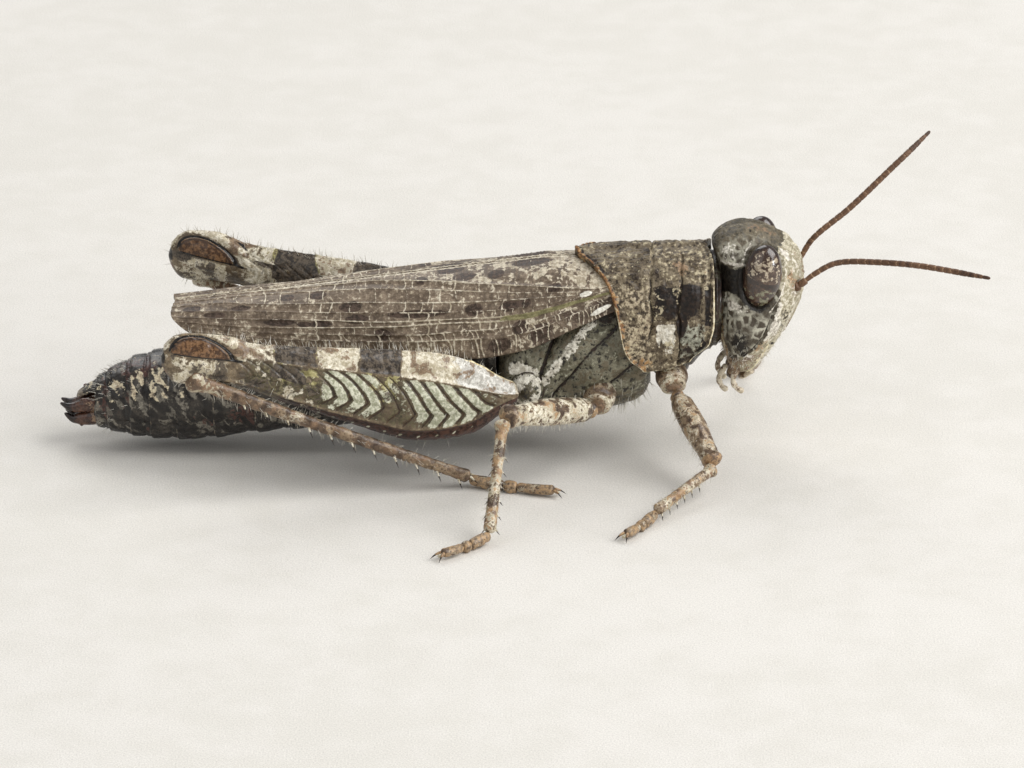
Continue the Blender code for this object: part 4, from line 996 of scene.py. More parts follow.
def buildAbdomen():
    form = abdomenForm
    edges = np.array(form["edges"])
    x = np.linspace(edges[0], edges[-1], form["rows"])[:, None]
    number = np.clip(np.searchsorted(-edges, -x[:, 0], side="right") - 1, 0, len(edges) - 2)[:, None]
    local = (edges[number] - x) / (edges[number] - edges[number + 1])
    gap = x - edges[number + 1]
    middle, half = curve(form["middle"])(x), curve(form["half"])(x)
    points, turn = bodyRings(x, middle - half, middle + half, half, form["columns"], 0.0)
    rise = (points[..., 2] - middle) / half
    lean = gap + 0.06 * noise(points, 0.6, 50)
    lip = form["lip"] * np.minimum(fade(local, 0.1, 0.9), fade(lean, 0.02, 0.07))
    height = lip + 0.012 * noise(points, 0.35, 51)
    height -= 0.06 * bell(rise + 0.42, 0.07) * (1 - fade(x, -1.5, -0.5))
    height -= 0.03 * bell(local - 0.2, 0.05)
    height += 0.03 * bell(turn - math.pi / 2, 0.05)
    height += 0.01 * noise(points, 0.12, 52)
    slanted = points.copy()
    slanted[..., 0] = (points[..., 0] + 0.8 * points[..., 2]) * 1.7
    slanted[..., 2] = points[..., 2] * 0.8 - points[..., 0] * 0.4
    upper = strip(rise, 0.2, 0.92, 0.18)
    fine = noise(points, 0.15, 57)
    dark = most(0.38 + 0.6 * noise(slanted, 0.3, 53), 0.66 * (1 - fade(rise, -0.75, -0.5)) + 0.2 * fine)
    grey = 0.42 + 0.6 * noise(slanted, 0.24, 56) - 0.15 * fade(rise, 0.3, 0.8)
    red = 0.12 + 0.5 * noise(points, 0.7, 54) + 0.3 * bell(local, 0.25)
    blotches = (0.3 + 0.75 * noise(slanted, 0.2, 55) + 0.2 * fine) * upper
    edging = 0.5 * strip(lean, 0.1, 0.32, 0.06) * fade(noise(points, 0.3, 58), 0.1, 0.5)
    cream = most(blotches * fade(-x, 9.6, 10.8) * strip(local, 0.2, 0.9, 0.1), edging * upper)
    rim = strip(lean, 0.0, 0.07, 0.03) * (0.4 + 0.6 * noise(points, 0.3, 59))
    tips = ((edges[0] + 0.02, 0, 3.0), (edges[-1] - 0.06, 0, 1.42))
    marks = limited(dark=dark, grey=grey, red=red, cream=cream, rim=rim)
    shape = newShape()
    addTube(shape, raised(points, height), tips, **marks)
    finish = shellMaterial("ringShell", abdomenLook)
    makePiece("abdomenRings", shape, finish, "abdomen_shell", "abdomen")
    tail = fade(-x, 11.6, 12.9) * (0.3 + fade(rise, 0.0, 0.6)) + 0.03 * (rise > -0.3) * fade(-x, 8.5, 9.5)
    plantHairs("tailHairs", points, tail, "tail", (-0.8, 0, 0.1), "abdomen_shell")
    shape = newShape()
    points, t, turn, tips = tube(line(*form["plate"]), curve(form["plateWide"]), curve(form["plateDeep"]),
                                 (0, 0, 1), 50, 48, (0.1, 0.15))
    addTube(shape, raised(points, -0.03 * bell(points[..., 1], 0.06) + 0.01 * noise(points, 0.1, 60)), tips,
            cream=0.35 + 0.25 * noise(points, 0.2, 61), rim=0.8 * fade(t, 0.4, 0.8) + 0 * turn)
    makePiece("tailPlate", shape, finish, "abdomen_shell", "tail_plate")


hornLook = {
    "ground": ("#3a241c", "#5f4030"), "lump": 3.0, "grain": 10.0,
    "layers": (("dark", "#150d0a", "#2a1a14", 0.5), ("pale", "#6e5746", "#947960", 0.8)),
    "rough": (0.18, 0.35), "coat": 0.6, "bump": 0.012,
}
hornForm = {
    "upper": [(-12.9, 0.24, 1.46), (-13.35, 0.22, 1.36), (-13.75, 0.2, 1.3), (-14.12, 0.2, 1.44)],
    "lower": [(-12.9, 0.26, 1.02), (-13.35, 0.22, 0.94), (-13.68, 0.2, 0.92), (-14.0, 0.2, 1.1)],
    "across": [(0, 0.24), (0.5, 0.18), (0.8, 0.12), (1, 0.03)],
    "up": [(0, 0.26), (0.35, 0.22), (0.65, 0.16), (0.85, 0.09), (1, 0.03)],
    "cercus": ((-12.95, 0.6, 1.58), (-13.45, 0.62, 1.72)), "cercusSize": [(0, 0.13), (0.5, 0.11), (1, 0.05)],
}


def buildTail():
    form = hornForm
    finish = shellMaterial("tailHorn", hornLook)
    across, up, size = curve(form["across"]), curve(form["up"]), curve(form["cercusSize"])
    for name, side in sides.items():
        for label in ("upper", "lower"):
            shape = newShape()
            points, t, turn, tips = tube(route(form[label]), across, up, (0, 0, 1), 90, 32, (0.1, 0.04), 2.2)
            tooth = bell(t - 0.5, 0.05) * fade(-np.sin(turn), 0.4, 1) * (label == "lower")
            addTube(shape, raised(points, 0.06 * tooth + 0.008 * noise(points, 0.1, 62)), tips, side,
                    dark=0.75 * fade(t, 0.5, 0.8) + 0.2 * noise(points, 0.2, 63),
                    pale=0.5 * (1 - fade(t, 0.1, 0.4)) + 0 * turn)
            makePiece("valve" + label.title() + name.title(), shape, finish, "horn",
                      "valve_" + label + "_" + name)
        shape = newShape()
        points, t, turn, tips = tube(line(*form["cercus"]), size, size, (0, 0, 1), 40, 24, (0.08, 0.06))
        addTube(shape, points, tips, side, pale=0.5 * bell(t - 0.4, 0.3) + 0 * turn)
        makePiece("cercus" + name.title(), shape, finish, "horn", "cercus_" + name)


buildPronotum()
buildTrunk()
buildAbdomen()
buildTail()
print("body ready")

# Wing covers: u runs from the ridge (0) to the lower hem (1), x from tip to base
wingForm = {
    "hem": [(-10.6, 4.26), (-10.2, 4.12), (-9.5, 4.06), (-5.0, 3.74), (-1.2, 3.62), (0.25, 3.86), (2.0, 4.6),
            (3.5, 5.2)],
    "half": [(-10.6, 1.2), (-6.0, 1.62), (-1.5, 1.93), (1.0, 1.94), (2.2, 1.8), (3.3, 1.6)],
    "base": [(0, 2.25), (0.25, 2.8), (0.5, 3.1), (0.75, 3.25), (1, 3.25)],
    "tip": -10.55, "backHeight": 6.15, "pitch": 0.127, "roof": 2.3, "thickness": 0.1, "ridgeGap": 0.035,
    "rows": 470, "columns": 150, "arc": 3.9, "veinHeight": 0.028,
    # lengthwise veins, each from the tip to the base, and how strong each one is
    "veins": [
        [(-10.5, 0.02), (-8.4, 0.03), (-4.7, 0.11), (-1.0, 0.33), (2.24, 0.58), (2.6, 0.62)],
        [(-10.5, 0.12), (-8.4, 0.12), (-4.7, 0.24), (-1.0, 0.42), (2.24, 0.62), (2.6, 0.65)],
        [(-10.5, 0.24), (-9.2, 0.25), (-7.6, 0.36), (-5.3, 0.43), (-3.0, 0.49), (0.0, 0.55), (2.6, 0.67)],
        [(-10.5, 0.4), (-8.5, 0.47), (-6.0, 0.55), (-3.0, 0.6), (-1.0, 0.62), (0.8, 0.655), (2.6, 0.69)],
        [(-10.5, 0.56), (-8.5, 0.62), (-6.0, 0.655), (-3.8, 0.69), (-1.6, 0.68), (0.86, 0.715), (2.8, 0.71)],
        [(-10.5, 0.68), (-8.1, 0.76), (-6.5, 0.755), (-3.75, 0.74), (-1.9, 0.715), (0.86, 0.745),
         (2.8, 0.73)],
        [(-10.5, 0.78), (-8.0, 0.84), (-5.5, 0.83), (-3.0, 0.82), (-1.3, 0.79), (0.86, 0.8), (2.8, 0.77)],
        [(-10.5, 0.88), (-8.0, 0.92), (-5.5, 0.9), (-3.0, 0.88), (-1.3, 0.86), (0.86, 0.87), (2.8, 0.83)],
    ],
    "veinWeights": (1.0, 0.8, 0.85, 0.7, 1.0, 1.0, 0.7, 0.7),
    # usual distance between cross veins in each row of cells, from the ridge down
    "crossSteps": (0.17, 0.34, 0.42, 0.5, 0.4, 0.5, 0.36, 0.3, 0.2),
    "crossSpan": (-10.45, 2.8), "crossKept": 0.93,
    "calluses": (((2.27, 0.655), (0.19, 0.035), 0), ((2.74, 0.915), (0.32, 0.035), -3)),
    # dark spots: x, u and half sizes along both
    "spots": [(-2.9, 0.61, 0.78, 0.035), (-1.17, 0.6, 0.24, 0.05), (-0.05, 0.61, 0.3, 0.045),
              (0.42, 0.6, 0.14, 0.045), (-4.96, 0.49, 0.3, 0.06), (-4.8, 0.65, 0.3, 0.05),
              (-7.2, 0.68, 0.42, 0.05), (-5.9, 0.71, 0.3, 0.04), (-6.4, 0.71, 0.2, 0.03),
              (-3.97, 0.82, 0.24, 0.05), (-2.81, 0.18, 0.16, 0.06), (-1.48, 0.19, 0.28, 0.06),
              (-0.5, 0.21, 0.24, 0.06), (-6.98, 0.25, 0.2, 0.06), (-6.0, 0.26, 0.24, 0.06),
              (-9.2, 0.53, 0.3, 0.06), (-9.9, 0.35, 0.24, 0.07), (-8.4, 0.4, 0.24, 0.05),
              (-1.9, 0.05, 0.4, 0.05), (0.6, 0.08, 0.5, 0.06), (0.9, 0.9, 0.3, 0.06), (-0.4, 0.93, 0.3, 0.05),
              (0.25, 0.82, 0.2, 0.05), (1.3, 0.5, 0.2, 0.05)],
}
wingLook = {
    "ground": ("#5b4d3f", "#8c7c69"), "lump": 1.6, "grain": 8.0, "speck": ("#a89a83", 0.6),
    "layers": (("speckle", "#a0937d", "#cabfa9", 0.7), ("spot", "#33271d", "#55453a", 0.5),
               ("vein", "#a89b84", "#d6ccb7", 0.25), ("green", "#6f6a48", "#8d8660", 0.4),
               ("callus", "#d8d3c6", "#efebe0", 0.2)),
    "rough": (0.4, 0.6), "coat": 0.15, "bump": 0.015, "pits": 10.0,
}


def wingSkin(inset, columns):
    form = wingForm
    u = np.linspace(0, 1, columns)[None, :]
    v = np.linspace(0, 1, form["rows"])[:, None]
    tip = form["tip"] + 0.1 * np.clip(1 - u / 0.4, 0, 1) ** 2 + 0.75 * np.clip((u - 0.4) / 0.6, 0, 1) ** 2.2
    x = tip + (curve(form["base"])(u) - tip) * v
    top = form["backHeight"] + form["pitch"] * x - 0.1 * np.maximum(x - 1, 0) - inset
    hem = curve(form["hem"])(x)
    inner = form["ridgeGap"]
    y = inner + np.sin(u * math.pi / 2) ** (2 / form["roof"]) * (curve(form["half"])(x) - inner - inset)
    z = hem + (top - hem) * np.cos(u * math.pi / 2) ** (2 / form["roof"])
    return np.stack([x, y, z], -1), u + 0 * v


def wingNet(x, u, side):
    # how near each point is to a lengthwise vein and to a cross vein, 0 to 1
    form = wingForm
    lines = np.stack([curve(vein)(x) for vein in form["veins"]], 0)
    lines = np.concatenate([np.zeros_like(lines[:1]), lines, np.ones_like(lines[:1])], 0)
    long = np.zeros_like(x)
    for k, weight in enumerate(form["veinWeights"], 1):
        long = np.maximum(long, weight * bell((u - lines[k]) * form["arc"], 0.036))
    cross = np.zeros_like(x)
    random = np.random.default_rng(70 + side)
    for k, step in enumerate(form["crossSteps"]):
        low, high = lines[k], lines[k + 1]
        inside = (u >= low) & (u < high)
        across = np.clip((u - low) / np.maximum(high - low, 0.01), 0, 1)
        slant = 0.35 if k > 6 else random.uniform(-0.1, 0.1)
        place, last = form["crossSpan"]
        while place < last:
            near = step * (1.0 if place < -1.5 else 0.62 if place < 1 else 0.42)
            place += near * random.uniform(0.55, 1.45)
            if random.random() < form["crossKept"]:
                bow = slant * step + random.uniform(-0.06, 0.06)
                wave = 0.05 * math.sin(place * 9) * across * (1 - across) * 4
                gap = x - place - bow * (across - 0.5) - wave
                cross = np.maximum(cross, bell(gap, 0.03) * inside * random.uniform(0.55, 1.0))
    return long, cross, lines


def buildWings():
    form = wingForm
    finish = shellMaterial("wingLeather", wingLook)
    for name, side in sides.items():
        outer, u = wingSkin(0.0, form["columns"])
        inner = wingSkin(form["thickness"], 16)[0]
        x = outer[..., 0]
        long, cross, lines = wingNet(x, u, side)
        rowGap = np.zeros_like(x)
        for low, high in zip(lines, lines[1:]):
            middle = (u - low) / np.maximum(high - low, 0.01)
            rowGap = np.where((u >= low) & (u < high), np.sin(np.clip(middle, 0, 1) * math.pi), rowGap)
        callus = most(*(patch(x, u, *oval, 0.4) for oval in form["calluses"]))
        height = form["veinHeight"] * np.maximum(long, 0.7 * cross) - 0.018 * rowGap
        height += 0.03 * noise(outer, 1.1, 71) * fade(u, 0.02, 0.1)
        height += 0.04 * bell((u - lines[1]) * form["arc"], 0.12) * fade(x, -7, -3)
        height += 0.06 * callus
        base = fade(x, -4.5, -1.5) * (1 - fade(u, lines[1] - 0.04, lines[1] + 0.02))
        lumps = noise(outer, 0.13, 72 + side)
        speckle = most(
            base * (0.5 + 0.6 * lumps) + 0.5 * fade(x, 1.6, 2.4) * (0.5 + 0.6 * lumps),
            (0.42 + 0.35 * lumps) * fade(x, -1.5, 1.0) * fade(u, lines[6], lines[6] + 0.03),
            0.22 + 0.2 * noise(outer, 0.3, 73))
        spot = np.zeros_like(x)
        for spotX, spotU, wide, tall in form["spots"]:
            # the left wing's spots lie a little off the right wing's
            drift = 0.15 * noise(np.array([(spotX, spotU, 3.0)]), 0.05, 74) if side > 0 else 0
            spot = np.maximum(spot, patch(x, u, (spotX + drift, spotU), (wide, tall), 0, 0.7))
        shade = (0.4 + 0.3 * noise(outer, 0.42, 75)) * fade(x, -1.5, 1.5)
        spot = most(np.clip(spot * 1.35 + 0.16 * lumps * (spot > 0.1), 0, 1),
                    shade * fade(u, lines[5], lines[5] + 0.1))
        vein = np.clip(most(long * 0.95, cross), 0, 1)
        vein = vein * (0.72 + 0.3 * fade(noise(outer, 0.6, 76), -0.2, 0.3))
        vein = vein * (1 - 0.4 * base) * (0.6 + 0.4 * fade(x, -9.5, -5.0))
        vein = most(vein, 0.85 * bell((u - 0.012) * form["arc"], 0.05))
        green = strip(u, lines[5] - 0.012, lines[6] + 0.012, 0.012) * fade(x, -1.5, 0.5) * 0.8
        shape = newShape()
        addSheet(shape, raised(outer, height, False), inner, side, vein=vein, spot=spot, green=green,
                 speckle=np.clip(speckle, 0, 1), callus=callus)
        makePiece("wingCover" + name.title(), shape, finish, "wing_cover", "tegmen_" + name)


foldForm = {
    "ends": ((1.7, 0.98), (-9.9, 0.92)), "aside": 0.42, "pleats": 14,  # each end: x and depth under the ridge
    "wide": [(0, 0.26), (0.3, 0.32), (1, 0.24)], "tall": [(0, 0.28), (0.3, 0.36), (1, 0.24)],
}
foldLook = {
    "ground": ("#8d806a", "#b3a78f"), "lump": 1.2, "grain": 8.0,
    "layers": (("dark", "#3b3026", "#54463a", 0.5), ("pale", "#bcb199", "#d8cfba", 0.5)),
    "rough": (0.35, 0.5), "coat": 0.3, "bump": 0.01,
}


def buildFoldedWings():
    # thin pleated fan packed under each wing cover
    form = foldForm
    finish = shellMaterial("foldedMembrane", foldLook)
    ridge = [wingForm["backHeight"] + wingForm["pitch"] * x for x, _ in form["ends"]]
    path = line(*((x, form["aside"], top - depth) for (x, depth), top in zip(form["ends"], ridge)))
    for name, side in sides.items():
        points, t, turn, tips = tube(path, curve(form["wide"]), curve(form["tall"]), (0, 0, 1), 160, 96,
                                     (0.4, 0.5))
        pleats = np.cos(turn * form["pleats"])
        shape = newShape()
        addTube(shape, raised(points, 0.03 * pleats * fade(t, 0, 0.1)), tips, side,
                dark=0.6 * fade(-pleats, 0.2, 0.9) + 0 * t, pale=0.7 * fade(pleats, 0.5, 1) + 0 * t)
        makePiece("foldedWing" + name.title(), shape, finish, "hind_wing", "hind_wing_" + name)


# Jumping legs
thighForm = {
    "hip": (0.2, 2.35), "knee": (-10.62, 4.5), "rows": 420, "columns": 168, "roundness": 2.15,
    # the left thigh is a little longer and bows up more
    "reach": {"right": 0.0, "left": -0.32}, "lift": {"right": 0.0, "left": 0.3},
    "depth": [(0, 0.28), (0.06, 0.66), (0.14, 1.18), (0.28, 1.42), (0.42, 1.25), (0.6, 0.95), (0.79, 0.67),
              (0.86, 0.76), (0.93, 0.82), (0.97, 0.72), (1, 0.52)],
    "centre": [(0, 2.66), (0.14, 2.62), (0.28, 2.8), (0.42, 3.19), (0.6, 3.7), (0.8, 4.34), (0.9, 4.58),
               (1, 4.62)],
    "thick": [(0, 0.26), (0.08, 0.44), (0.25, 0.6), (0.5, 0.5), (0.78, 0.32), (0.9, 0.38), (1, 0.3)],
    "upperRidge": [(0, 0.2), (0.08, 0.34), (0.2, 0.48), (0.3, 0.52), (1, 0.48)],
    "lowerRidge": [(0, -0.1), (0.08, -0.26), (0.16, -0.48), (0.3, -0.62), (0.55, -0.7), (1, -0.7)],
    # chevrons between the ridges, and two dark bars over the top
    "apex": -0.28, "spacing": 0.49, "bars": ((3.4, 4.65), (5.88, 7.2)),
}
kneeForm = {"centre": (-9.38, 4.72), "half": 0.98, "height": 0.64, "slope": 0.2}
thighLook = {
    "ground": ("#5d4f3e", "#8d7d64"), "lump": 2.2, "grain": 8.0, "speck": ("#b8ab8d", 0.6),
    "layers": (("olive", "#433c2c", "#6a6148", 0.6), ("moss", "#857d50", "#b3aa78", 0.6),
               ("red", "#33201a", "#5c4035", 0.5), ("cream", "#b5a98f", "#e4dcc8", 0.35),
               ("grey", "#aba69c", "#dcd9d0", 0.35), ("brown", "#6a5745", "#8d7860", 0.6),
               ("pale", "#a5a68c", "#dcdbc6", 0.3), ("line", "#35271d", "#52402f", 0.25),
               ("dark", "#2f2822", "#62574a", 0.5), ("rim", "#cdbb86", "#ece0bb", 0.25),
               ("amber", "#483222", "#7d5d40", 0.5), ("black", "#0e0a08", "#1c1511", 0.15)),
    "rough": (0.28, 0.5), "gloss": 0.18, "coat": 0.3, "bump": 0.024,
}


def thighPath(name):
    form = thighForm
    low, high = np.array(form["hip"]), np.array(form["knee"]) + (form["reach"][name], 0)

    def follow(t):
        flat = low + (high - low) * t[:, None]
        return np.concatenate([flat, curve(form["centre"])(t)[:, None]], -1)

    return follow


def kneeLens(x, z):
    # r is 1 on the outline of the knee's lens; rise is measured from its flat lower side
    centreX, centreZ = kneeForm["centre"]
    s = (x - centreX) / kneeForm["half"]
    rise = z - centreZ + kneeForm["slope"] * (x - centreX)
    end = np.where(s < 0, np.abs(s) ** 2.6, np.abs(s) ** 1.4)
    return np.sqrt(end + (np.maximum(rise, 0) / kneeForm["height"]) ** 2), rise, s


def buildThighs():
    form = thighForm
    finish = shellMaterial("thighShell", thighLook)
    keys = ("thick", "depth", "upperRidge", "lowerRidge")
    wide, tall, upperRidge, lowerRidge = (curve(form[key]) for key in keys)
    apex = form["apex"]
    for name, side in sides.items():
        points, t, turn, tips = tube(thighPath(name), wide, tall, (0.18, 0, 1), form["rows"],
                                     form["columns"], (0.2, 0.5), form["roundness"])
        points[..., 2] += form["lift"][name] * np.sin(math.pi * np.clip(t, 0, 1))
        x = points[..., 0] - form["reach"][name]
        z = points[..., 2]
        # q runs from the lower edge (-1) to the upper (1), out from the inner face (-1) to the outer (1)
        q = power(np.sin(turn), 2 / form["roundness"]) + 0 * t
        out = np.cos(turn) + 0 * t
        outside, inside = fade(out, 0.05, 0.25), fade(-out, 0.1, 0.3)
        upper, lower = upperRidge(t), lowerRidge(t)
        field = strip(q, lower, upper, 0.05) * strip(t, 0.05, 0.79, 0.03) + 0 * q
        way = -x - 1.05 * np.maximum(q - apex, 0) - 1.15 * np.maximum(apex - q, 0)
        way = way + 0.16 * np.sin(np.clip((q - apex) / 0.8, 0, 1) * math.pi) * fade(-x, 2, 4)
        beat = (way + 0.05 * noise(points, 0.5, 81)) / form["spacing"]
        phase = beat % 1
        odd = chance(np.stack([np.floor(beat), 0 * beat, 0 * beat], -1).astype(np.int64), 82)
        ridges = np.minimum(fade(phase, 0.0, 0.2), 1 - fade(phase, 0.8, 1.0))
        inner = strip(q, -0.7, 0.62, 0.06) * strip(t, 0.06, 0.79, 0.03)
        height = 0.05 * (ridges - 0.6) * field * outside + 0.03 * (ridges - 0.6) * inner * inside
        height += 0.08 * bell(q - upper - 0.02, 0.055) * outside * strip(t, 0.03, 0.83, 0.03)
        height += 0.08 * bell(q - lower + 0.02, 0.055) * outside * strip(t, 0.08, 0.83, 0.03)
        keel = bell(out, 0.13)
        height += 0.05 * keel * strip(t, 0.05, 0.86, 0.03)
        height -= 0.03 * bell(q - apex, 0.04) * field * outside
        height += 0.014 * noise(points, 0.14, 83) + 0.012 * noise(points, 0.3, 80)
        r, rise, s = kneeLens(x, z)
        knee = fade(-x, 7.9, 8.2)
        face = knee * fade(np.abs(out), 0.05, 0.2)
        above = fade(rise, -0.02, 0.05)
        lens = (1 - fade(r, 0.84, 0.95)) * above * face
        height += 0.07 * bell(r - 1.28, 0.16) * above * knee - 0.05 * bell(r - 0.98, 0.06) * above * face
        height += 0.03 * lens
        height += 0.06 * bell(rise + 0.28, 0.14) * face * strip(s, -0.8, 0.5, 0.2)
        skin = raised(points, height)

        top = fade(q, upper - 0.02, upper + 0.06) * strip(t, 0.0, 0.84, 0.02)
        along = -x
        wobble = 0.14 * noise(points, 0.35, 84)
        fine, low = noise(points, 0.16, 87), noise(points, 0.34, 89)
        bars = sum(strip(along + wobble, start, end, 0.06) for start, end in form["bars"])
        nearBars = sum(strip(along + wobble, start - 0.1, end + 0.1, 0.15) for start, end in form["bars"])
        base = 1 - fade(along, 1.4, 2.3)
        bottom = 1 - fade(q, lower - 0.08, lower + 0.02)
        distal = fade(along, 5.4, 6.0)
        group = strip(along, 3.1, 4.05, 0.15)
        spots = bell(q - upper + 0.1, 0.1) * (1 - nearBars) * bell(phase - 0.9, 0.2) * field * outside
        dark = most(
            (0.72 + 0.2 * fine) * bars * top,
            0.8 * spots,
            (0.35 + 0.45 * low) * (distal + 0.8 * nearBars * (q > -0.1)) * (q < upper),
            0.6 * bars * inner * inside)
        black = most(
            0.9 * above * face * most(bell(r - 0.96, 0.07), 0.9 * bell(r - 1.5, 0.06)),
            0.8 * face * bell(rise, 0.035) * strip(s, -0.9, 1.15, 0.05),
            0.62 * patch(x, z, (-8.3, 4.5), (0.4, 0.09), -12, 0.8) * face,
            0.95 * patch(x, z, (-10.66, 4.82), (0.16, 0.34), 15, 0.5),
            0.56 * lens * fade(r, 0.5, 0.9))
        green = (0.42 + 0.45 * noise(points, 0.2, 86)) * strip(q, -0.2, upper + 0.15, 0.1)
        moss = most(green * nearBars * outside, (0.35 + 0.5 * low) * distal * (1 - 0.7 * knee))
        brown = (0.3 + 0.5 * noise(points, 0.2, 85)) * top * (1 - bars) + 0.3 * knee
        underLens = (1 - fade(rise, -0.1, -0.02)) * face * strip(s, -0.95, 0.7, 0.1)
        cream = most(
            0.85 * top * (1 - bars) * (1 - 0.35 * distal),
            0.95 * bell(r - 1.22, 0.2) * above * knee,
            (0.62 + 0.3 * low) * underLens,
            0.62 * inner * (1 - bars) * inside,
            (0.22 + 0.5 * fine) * distal)
        shown = strip(phase, 0.14, 0.82, 0.08) * field * outside
        pale = shown * (0.86 + 0.25 * low - 0.42 * group - 0.5 * distal - 0.3 * (odd > 0.9))
        pale = pale * (1 - 0.4 * fade(apex - q, 0.0, 0.2) * fade(along, 2.0, 3.0))
        beads = bell(q - lower + 0.26, 0.05) * bell(phase - 0.5, 0.12) * outside * strip(along, 1.0, 7.0, 0.3)
        between = most(bell(phase, 0.08), bell(phase - 1.0, 0.08)) * field * outside * (1 - 0.5 * distal)
        red = 0.85 * bottom * (1 - fade(along, 6.5, 8.0)) + 0.5 * bottom * (1 - fade(along, 0.1, 0.5))
        rim = 0.8 * bell(out, 0.1) * fade(q, 0, 0.3) * (1 - fade(along, 1.0, 1.7))
        rim = rim + 0.3 * keel * (1 - bars) * top
        amber = most(lens, 0.8 * patch(x, z, (-10.6, 4.3), (0.16, 0.24), 0, 0.6))
        marks = limited(olive=(0.62 + 0.2 * low) * field * outside, moss=moss, red=red, cream=cream,
                        grey=(0.72 + 0.2 * low) * top * base, brown=brown, pale=most(pale, 0.8 * beads),
                        line=between, dark=dark, rim=rim, amber=amber, black=black, gloss=most(amber, black))
        shape = newShape()
        addTube(shape, skin, tips, side, **marks)
        makePiece("thigh" + name.title(), shape, finish, "hind_leg_shell", "femur_hind_" + name)
        hairy = (fade(q, 0.2, 0.7) + 0.25 * fade(-q, 0.3, 0.8)) * strip(t, 0.08, 0.99, 0.03)
        plantHairs("thighHairs" + name.title(), skin, bell(out, 0.25) * hairy + 0.01 * field, "thigh",
                   (-0.25, 0, 0.2), "hind_leg_shell", side)


shinForm = {
    "heel": (-9.85, 4.5, 4.02), "ankle": (-1.3, 3.55, 0.36), "spines": 11,
    "wide": [(0, 0.3), (0.03, 0.33), (0.075, 0.2), (0.5, 0.17), (0.93, 0.17), (1, 0.22)],
    "tall": [(0, 0.34), (0.03, 0.36), (0.075, 0.24), (0.5, 0.19), (0.93, 0.18), (1, 0.22)],
    "spineLength": 0.42, "spineThick": 0.045, "spurLength": 0.36,
    "spurs": ((0.9, 0.7, -0.6), (0.9, -0.7, -0.6), (1, 0.35, -0.9), (1, -0.35, -0.9)),
    "footHeading": (0.96, 0.28), "footLength": 2.6, "footSize": 0.17,
}
legLook = {
    "ground": ("#7d6a54", "#a8947a"), "lump": 2.4, "grain": 8.0, "speck": ("#cbbd9f", 0.6),
    "fleck": ("#5b4938", 0.42),
    "layers": (("cream", "#b3a88f", "#e2dbc8", 0.6), ("orange", "#86694c", "#b0926e", 0.6),
               ("brown", "#6b5440", "#8b7159", 0.8), ("dark", "#42342a", "#655343", 0.6),
               ("horn", "#1e1511", "#33251c", 0.2)),
    "rough": (0.3, 0.5), "coat": 0.25, "bump": 0.02,
}


def addSpine(shape, root, way, length, size, side, columns=8, curl=0.0, **marks):
    # tapered prickle; curl bends its tip downwards
    root, way = np.array(root, float), np.array(way, float)
    way = way / np.linalg.norm(way)

    def follow(t):
        reach = root + way * (length * t)[:, None]
        reach[:, 2] -= curl * length * t ** 2
        return reach

    def thin(t):
        return size * (1 - 0.92 * t)

    hint = (0, 0, 1) if abs(way[2]) < 0.8 else (1, 0, 0)
    points, t, turn, tips = tube(follow, thin, thin, hint, 7, columns, (0.01, 0.005))
    addTube(shape, points, tips, side, horn=fade(t, 0.35, 0.7), **marks)


def addSpineRows(shape, path, size, places, ways, length, thick, side):
    ends = path(np.array((0.0, 1.0)))
    heading = (ends[1] - ends[0]) / np.linalg.norm(ends[1] - ends[0])
    for place in places:
        centre = path(np.array([place]))[0]
        for way in ways:
            out = np.array(way, float)
            out = out - heading * (out @ heading)
            out /= np.linalg.norm(out)
            root = centre + out * size(np.array([place]))[0] * 0.7
            addSpine(shape, root, out + heading * 0.75, length, thick, side, cream=0.8)


footForm = {"joints": (0.0, 0.38, 0.55, 1.0), "height": 0.2, "tip": 0.24, "claw": 0.34, "clawThick": 0.055}


def addFoot(shape, ankle, heading, length, side, size=0.15):
    # three foot joints flat on the floor, a soft pad and two hooked claws
    form = footForm
    flat = np.array((heading[0], heading[1], 0.0))
    flat /= np.linalg.norm(flat)
    start = np.array((ankle[0], ankle[1], 0.0)) + flat * 0.1
    wide = curve([(0, size * 0.7), (0.5, size * 1.1), (1, size * 0.9)])
    for k, (low, high) in enumerate(zip(form["joints"], form["joints"][1:])):
        # the first joint starts up at the ankle
        back, rise = (0.12, ankle[2] - 0.07) if k == 0 else (0.03, form["height"])
        first = start + flat * (length * low - back) + (0, 0, rise)
        last = start + flat * (length * high + 0.02) + (0, 0, 0.19 if k < 2 else form["tip"])
        tall = curve([(0, size * 0.8), (0.5, size * (1.1 if k < 2 else 0.75)), (1, size * 0.95)])
        points, t, turn, tips = tube(line(first, last), wide, tall, (0, 0, 1), 30, 24, (0.1, 0.12))
        sole = 0.035 * np.abs(np.sin(t * math.pi * (3 if k == 0 else 1))) * fade(-np.sin(turn), 0.3, 0.9)
        points = raised(points, sole + 0.008 * noise(points, 0.1, 90))
        points[..., 2] = np.maximum(points[..., 2], 0.0)
        speckled = noise(points, 0.16, 94)
        addTube(shape, points, tips, side, orange=0.5,
                **limited(cream=0.42 + 0.5 * speckled - 0.2 * fade(t, 0.7, 0.95),
                          dark=0.3 + 0.4 * speckled + 0.3 * fade(t, 0.86, 1)))
    tip = start + flat * length + (0, 0, form["tip"])
    across = np.array((-flat[1], flat[0], 0))
    for sign in (-1, 1):
        addSpine(shape, tip + across * 0.06 * sign, flat + across * 0.45 * sign, form["claw"],
                 form["clawThick"], side, 10, 0.5, orange=0.8)
    pad = line(tip - flat * 0.05 - (0, 0, 0.04), tip + flat * 0.17 - (0, 0, 0.08))
    points, t, turn, tips = tube(pad, steady(0.07), steady(0.05), (0, 0, 1), 10, 14, (0.05, 0.05))
    addTube(shape, points, tips, side, cream=0.8)


